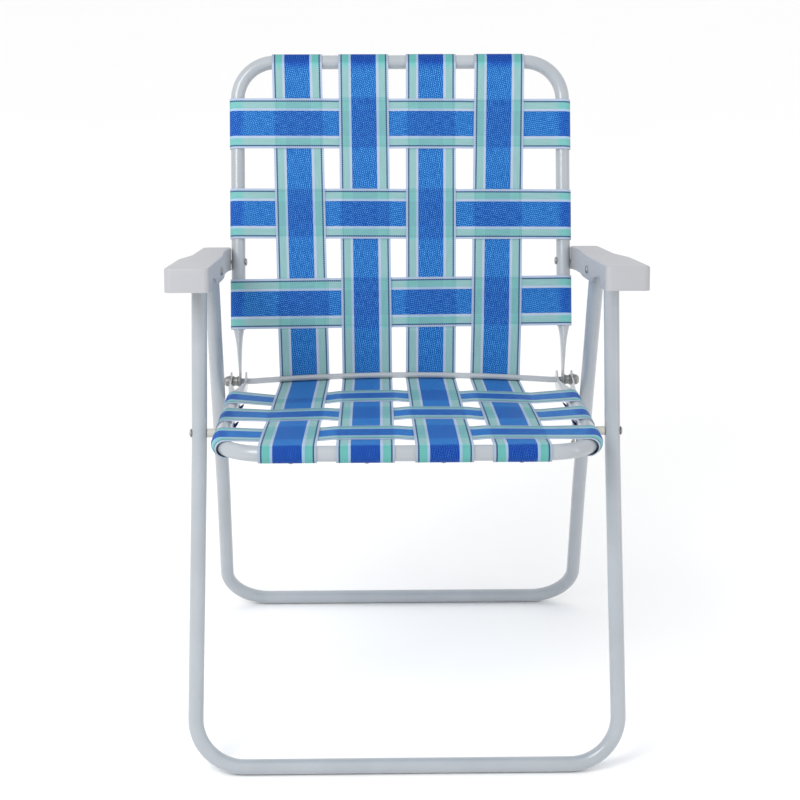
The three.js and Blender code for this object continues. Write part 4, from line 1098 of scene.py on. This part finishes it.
def strap(name, columns, crossings, narrowing):
    """A strap from its columns of points, each the same number of points long. A folded end covers
    less than its full width."""
    w = webbing()
    rows, count = len(crossings), w.columns + 1
    deselect_all()
    bpy.ops.mesh.primitive_grid_add(x_subdivisions=w.columns, y_subdivisions=rows - 1, size=1.0,
                                    calc_uvs=True)
    obj = bpy.context.object
    obj.name = name
    mesh = obj.data
    middle = columns[w.columns // 2]
    steps = [(b - a).length for a, b in zip(middle, middle[1:])]
    along = [0.0]
    for step in steps:
        along.append(along[-1] + step)
    crossing = mesh.attributes.new("crossing", "FLOAT", "POINT")
    other = mesh.attributes.new("other_across", "FLOAT", "POINT")
    for vertex in mesh.vertices:
        row, column = divmod(vertex.index, count)
        vertex.co = columns[column][row]
        crossing.data[vertex.index].value, other.data[vertex.index].value = crossings[row]
    uv = mesh.uv_layers.active
    uv.name = "UVMap"
    for loop in mesh.loops:
        row, column = divmod(loop.vertex_index, count)
        share = 0.5 + (column / w.columns - 0.5) * narrowing[row]
        uv.data[loop.index].uv = (share, along[row])
    mesh.update()
    apply_modifier(obj, "SOLIDIFY", thickness=w.thickness, offset=0.0)
    recalculate(obj)
    smooth(obj, 60)
    return obj


def strap_end(tail):
    """The points of a cross strap's end round the right side tube, and how wide it is there. A tail
    is folded to a point, and stands away from the tube's inner side."""
    half, radius = chair().half_width, wrap_radius()
    end = arc_points((half, 0.0), radius, 90, WRAP_END)
    if not tail:
        return end, [1.0] * len(end)
    angle = math.radians(WRAP_END)
    steps, length = 5, 0.009
    for k in range(1, steps + 1):
        run = length * k / steps
        end.append((half + radius * math.cos(angle) + run * math.sin(angle),
                    radius * math.sin(angle) - run * math.cos(angle)))
    # The fold starts at the arc's fifteenth point.
    taper = [1.0 - 0.45 * max(0.0, (k - 14) / 10) for k in range(25)] + [0.5, 0.42, 0.34, 0.26, 0.18]
    return end, taper


def cross_strap(name, origin, along, front, levels, body, node, v_centres, drift, to_bar=1.0, tail=False):
    """A strap from one side tube to the other, wrapped round both."""
    c, w = chair(), webbing()
    half, radius = c.half_width, wrap_radius()
    outermost = max(abs(v) for v in v_centres) + w.width / 2
    end, taper = strap_end(tail)
    run = woven_points(v_centres, levels, -half, half)[1:-1]
    profile = [(-x, level) for x, level in reversed(end)] + run + end
    narrowing = taper[::-1] + [1.0] * len(run) + taper
    crossings = []
    for x, level in profile:
        # Below the side tube's middle the strap gets full depth, which the material paints as shade.
        deep = 1.0 if level < 0 else 0.7 * fade(abs(x), half - c.tube * 0.55, half - c.tube * 0.2)
        crossings.append((deep, -1.0) if deep > 0 else crossing_at(x, v_centres))
    columns = []
    for offset in offsets_across():
        column = []
        for (x, level), narrow in zip(profile, narrowing):
            # Near the seat's front corners the end follows the bent tube inwards.
            shift = corner_shift(to_bar + offset * narrow)
            widening = c.seat_corner / (c.seat_corner - shift) - 1
            share = fade(abs(x), CORNER_FROM, half - c.tube * 0.6)
            beyond = max(-radius, abs(x) - half)
            new_x = x + (1 if x > 0 else -1) * share * (beyond * widening - shift)
            reached = max(-half, min(half, x))
            pull = drift[0] + drift[1] * reached + drift[2] * (reached / half) ** 2
            dip = 0.0
            if body == "seat" and abs(x) < half:
                reach = min(1.0, (half - abs(x)) / (half - outermost))
                dip = seat_dip(min(abs(x), outermost), to_bar + offset + pull) * reach
            column.append(origin + ACROSS * new_x + front * (level - dip) + along * (offset * narrow + pull))
        columns.append(column)
    obj = strap(name, columns, crossings, narrowing)
    fit(obj, "webbing", body, "webbing_crosswise", node)


def cross_straps():
    d = directions()
    for i, along in enumerate(SEAT_STRAPS):
        share = along / chair().rod_along
        centres = [x + drift_at(k, share, False) for k, x in enumerate(V_STRAPS)]
        cross_strap(f"seat_cross_strap_{i + 1}", seat_origin() + d["seat"] * along, d["seat"],
                    d["seat_up"], SEAT_OVER[i], "seat", f"seat_strap_s{i + 1}", centres,
                    SEAT_DRIFT[i], along, i > 0)
    for i, up in enumerate(BACK_STRAPS):
        share = up / chair().back_length
        centres = [x + drift_at(k, share, True) for k, x in enumerate(V_STRAPS)]
        cross_strap(f"back_cross_strap_{i + 1}", ROD + d["back"] * up, -d["back"],
                    d["back_front"], BACK_OVER[i], "back", f"back_strap_h{i + 1}", centres,
                    [-value for value in BACK_DRIFT[i]])


def rod_tangent(centre, point, radius, sense):
    """Where a line from a point touches a circle, in degrees round it."""
    line = Vector(point) - centre
    return math.degrees(math.atan2(line.y, line.x) + sense * math.acos(radius / line.length))


def long_strap_sides(x, seat_centres, back_centres, index):
    """The points (along, up) of a long strap at one place across: those in the seat's view, from
    the front bar and round the rod, and those in the back's view, from there to the top bar."""
    c, d, w = chair(), directions(), webbing()
    radius, rod_radius = wrap_radius(), c.rod_radius + 0.0004 + w.thickness / 2
    leave_seat = SEAT_STRAPS[-1] + w.width / 2 + 0.004
    join_back = BACK_STRAPS[0] - w.width / 2 - 0.004
    seat_levels = [-levels[index] for levels in SEAT_OVER]
    back_levels = [-levels[index] for levels in BACK_OVER]
    rise = rod_rise(x)
    woven = woven_points(seat_centres, seat_levels, 0.0, leave_seat)[1:]
    in_seat = arc_points((0.0, 0.0), radius, 180 - WRAP_END, 90) + [(a, b - seat_dip(x, a)) for a, b in woven]
    in_back = woven_points(back_centres, back_levels, join_back, c.back_length)[:-1]
    centre = Vector((c.rod_along, c.rod_up + rise))
    lifted = d["seat_up"] * rise
    back_centre = Vector((lifted.dot(d["back"]), lifted.dot(d["back_front"])))
    meet = rod_tangent(centre, in_seat[-1], rod_radius, 1) % 360
    leave = rod_tangent(back_centre, in_back[0], rod_radius, -1)
    # The back's view is turned against the seat's.
    turned_by = 90 - c.recline + c.seat_slope
    round_rod = arc_points(centre, rod_radius, meet, leave + turned_by + 360, 16)
    in_seat += line_points(in_seat[-1], round_rod[0]) + round_rod
    start = arc_points(back_centre, rod_radius, leave, leave, 1)[0]
    in_back = line_points(start, in_back[0]) + in_back
    return in_seat, in_back + arc_points((c.back_length, 0.0), radius, 90, WRAP_END)


def long_strap_crossing(point, seat_centres, back_centres):
    """How deep the colours are at a point of a long strap, and where across a cross strap it is."""
    c, d, radius = chair(), directions(), wrap_radius()
    from_bar, from_rod = point - seat_origin(), point - ROD
    # Round the front bar and over the top bar the strap gets full depth, which the material paints as shade.
    over_front = fade(-from_bar.dot(d["seat"]), -c.tube * 0.1, c.tube * 0.25)
    over_top = fade(from_rod.dot(d["back"]) - c.back_length, -c.tube * 0.75, 0.0)
    if max(over_front, over_top) > 0:
        return max(over_front, over_top), -1.0
    if from_rod.dot(d["back_front"]) > radius * 0.7 and from_rod.dot(d["back"]) > 0.03:
        return crossing_at(from_rod.dot(d["back"]), back_centres)
    if from_bar.dot(d["seat_up"]) > radius * 0.7 and from_rod.dot(d["seat"]) < -0.02:
        return crossing_at(from_bar.dot(d["seat"]), seat_centres)
    return 0.0, -1.0


def long_strap(index, x):
    """A strap from the seat's front bar, under the rod, to the back's top bar."""
    c, d, w = chair(), directions(), webbing()
    front_bar = seat_origin()
    seat_centres = [a + pull + slope * x for a, (pull, slope, _) in zip(SEAT_STRAPS, SEAT_DRIFT)]
    back_centres = [a + pull + slope * x for a, (pull, slope, _) in zip(BACK_STRAPS, BACK_DRIFT)]
    columns = []
    for offset in offsets_across():
        side_x = x + offset
        bar_shift = corner_shift(c.half_width - abs(side_x))
        in_seat, in_back = long_strap_sides(side_x, seat_centres, back_centres, index)
        column = []
        for a, b in in_seat:
            sideways = side_x + drift_at(index, min(1.0, max(0.0, a / c.rod_along)), False)
            a += bar_shift * max(0.0, 1 - max(0.0, a) / 0.03)
            column.append(front_bar + ACROSS * sideways + d["seat"] * a + d["seat_up"] * b)
        for a, b in in_back:
            sideways = side_x + drift_at(index, min(1.0, max(0.0, a / c.back_length)), True)
            column.append(ROD + ACROSS * sideways + d["back"] * a + d["back_front"] * b)
        columns.append(column)
    crossings = [long_strap_crossing(point, seat_centres, back_centres)
                 for point in columns[w.columns // 2]]
    obj = strap(f"long_strap_{index + 1}", columns, crossings, [1.0] * len(crossings))
    dress(obj, "webbing")
    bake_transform(obj)
    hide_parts(f"seat_strap_v{index + 1}", f"back_strap_v{index + 1}")


# Stage

CAMERA_PLACE = (-0.0469, -2.25673, 1.1549)
CAMERA_PITCH, CAMERA_YAW = 18.384, 1.068
SENSOR_WIDTH = 36.0
# The photo's focal length and width, in pixels.
FOCAL_PIXELS, PHOTO_PIXELS = 1814.1, 800


def floor():
    bpy.ops.mesh.primitive_plane_add(size=30.0, location=(0.0, 0.0, -0.0005))
    obj = bpy.context.object
    obj.name = "studio_floor"
    apply_place()
    dress(obj, "floor")


def lights():
    """The key is a round soft box at the upper left. The edge light is a tall strip at the right,
    which draws a thin line of light down each tube."""
    for name, place, shape, size, power in (
            ("key_light", (-1.1, -1.5, 1.9), "DISK", (1.2, 1.2), 26.0),
            ("edge_light", (1.9, -1.0, 0.8), "RECTANGLE", (0.14, 1.4), 3.0)):
        bpy.ops.object.light_add(type="AREA", location=place)
        light = bpy.context.object
        light.name = name
        light.data.shape = shape
        light.data.size, light.data.size_y = size
        light.data.energy = power
        aim = Vector((0.0, 0.0, 0.4)) - Vector(place)
        light.rotation_euler = aim.to_track_quat("-Z", "Y").to_euler()
    world = bpy.data.worlds.new("studio_world")
    world.use_nodes = True
    background = world.node_tree.nodes["Background"]
    background.inputs["Color"].default_value = (1.0, 1.0, 1.0, 1.0)
    background.inputs["Strength"].default_value = 1.0
    bpy.context.scene.world = world


def photo_camera():
    bpy.ops.object.camera_add()
    camera = bpy.context.object
    camera.name = "photo_camera"
    camera.data.sensor_width = SENSOR_WIDTH
    camera.data.lens = SENSOR_WIDTH * FOCAL_PIXELS / PHOTO_PIXELS
    pitch, yaw = math.radians(CAMERA_PITCH), math.radians(CAMERA_YAW)
    ahead = Vector((math.sin(yaw) * math.cos(pitch), math.cos(yaw) * math.cos(pitch), -math.sin(pitch)))
    right = Vector((math.cos(yaw), -math.sin(yaw), 0.0))
    turn = Matrix((right, right.cross(ahead), -ahead)).transposed().to_4x4()
    camera.matrix_world = Matrix.Translation(CAMERA_PLACE) @ turn
    bpy.context.scene.camera = camera
    bpy.context.scene.view_settings.view_transform = "Standard"


# Operators

class LAWNCHAIR_OT_leg_frames(bpy.types.Operator):
    """Bends the front and rear leg frames from tube."""

    bl_idname = "lawnchair.leg_frames"
    bl_label = "Leg Frames"

    def execute(self, context):
        leg_frames()
        return {"FINISHED"}


class LAWNCHAIR_OT_seat_frame(bpy.types.Operator):
    """Bends the seat's tube, splits its ends into ears and bows the rod between them."""

    bl_idname = "lawnchair.seat_frame"
    bl_label = "Seat Frame and Rod"

    def execute(self, context):
        seat_frame()
        seat_ear("inner", -1)
        seat_ear("outer", 1)
        cross_rod()
        return {"FINISHED"}


class LAWNCHAIR_OT_back_frame(bpy.types.Operator):
    """Bends the back's tube and presses its ends flat."""

    bl_idname = "lawnchair.back_frame"
    bl_label = "Back Frame"

    def execute(self, context):
        back_frame()
        return {"FINISHED"}


class LAWNCHAIR_OT_cross_straps(bpy.types.Operator):
    """Weaves the straps from side to side, on the seat and on the back."""

    bl_idname = "lawnchair.cross_straps"
    bl_label = "Cross Straps"

    def execute(self, context):
        cross_straps()
        return {"FINISHED"}


class LAWNCHAIR_OT_long_straps(bpy.types.Operator):
    """Weaves the straps that run from the front bar, under the rod, to the top bar."""

    bl_idname = "lawnchair.long_straps"
    bl_label = "Long Straps"

    def execute(self, context):
        for index, x in enumerate(V_STRAPS):
            long_strap(index, x)
        return {"FINISHED"}


class LAWNCHAIR_OT_armrests(bpy.types.Operator):
    """Moulds the armrests and the lugs inside them."""

    bl_idname = "lawnchair.armrests"
    bl_label = "Armrests"

    def execute(self, context):
        armrests()
        return {"FINISHED"}


class LAWNCHAIR_OT_fittings(bpy.types.Operator):
    """Turns the rivets, bushes, nuts and screws, and cuts the links."""

    bl_idname = "lawnchair.fittings"
    bl_label = "Fittings"

    def execute(self, context):
        fittings()
        return {"FINISHED"}


class LAWNCHAIR_OT_stage(bpy.types.Operator):
    """Lays the floor, hangs the lights and sets the camera."""

    bl_idname = "lawnchair.stage"
    bl_label = "Stage"

    def execute(self, context):
        deselect_all()
        floor()
        lights()
        photo_camera()
        return {"FINISHED"}


class LAWNCHAIR_PT_panel(bpy.types.Panel):
    """Lists the chair's sizes and the steps that make it."""

    bl_idname = "LAWNCHAIR_PT_panel"
    bl_label = "Lawn Chair"
    bl_space_type = "VIEW_3D"
    bl_region_type = "UI"
    bl_category = "Lawn Chair"

    def draw(self, context):
        for group in (chair(), armrest_sizes(), webbing()):
            for name in group.__annotations__:
                self.layout.prop(group, name)
        for operator in OPERATORS:
            self.layout.operator(operator.bl_idname)


OPERATORS = (
    LAWNCHAIR_OT_leg_frames,
    LAWNCHAIR_OT_seat_frame,
    LAWNCHAIR_OT_back_frame,
    LAWNCHAIR_OT_cross_straps,
    LAWNCHAIR_OT_long_straps,
    LAWNCHAIR_OT_armrests,
    LAWNCHAIR_OT_fittings,
    LAWNCHAIR_OT_stage,
)
CLASSES = (LawnChairFrame, LawnChairArmrest, LawnChairWebbing, *OPERATORS, LAWNCHAIR_PT_panel)


def register():
    for cls in CLASSES:
        bpy.utils.register_class(cls)
    bpy.types.Scene.lawn_chair_frame = PointerProperty(type=LawnChairFrame)
    bpy.types.Scene.lawn_chair_armrest = PointerProperty(type=LawnChairArmrest)
    bpy.types.Scene.lawn_chair_webbing = PointerProperty(type=LawnChairWebbing)


def unregister():
    del bpy.types.Scene.lawn_chair_webbing
    del bpy.types.Scene.lawn_chair_armrest
    del bpy.types.Scene.lawn_chair_frame
    for cls in reversed(CLASSES):
        bpy.utils.unregister_class(cls)


def main():
    register()
    bpy.ops.lawnchair.leg_frames()
    bpy.ops.lawnchair.seat_frame()
    bpy.ops.lawnchair.back_frame()
    bpy.ops.lawnchair.cross_straps()
    bpy.ops.lawnchair.long_straps()
    bpy.ops.lawnchair.armrests()
    bpy.ops.lawnchair.fittings()
    bpy.ops.lawnchair.stage()


if __name__ == "__main__":
    main()
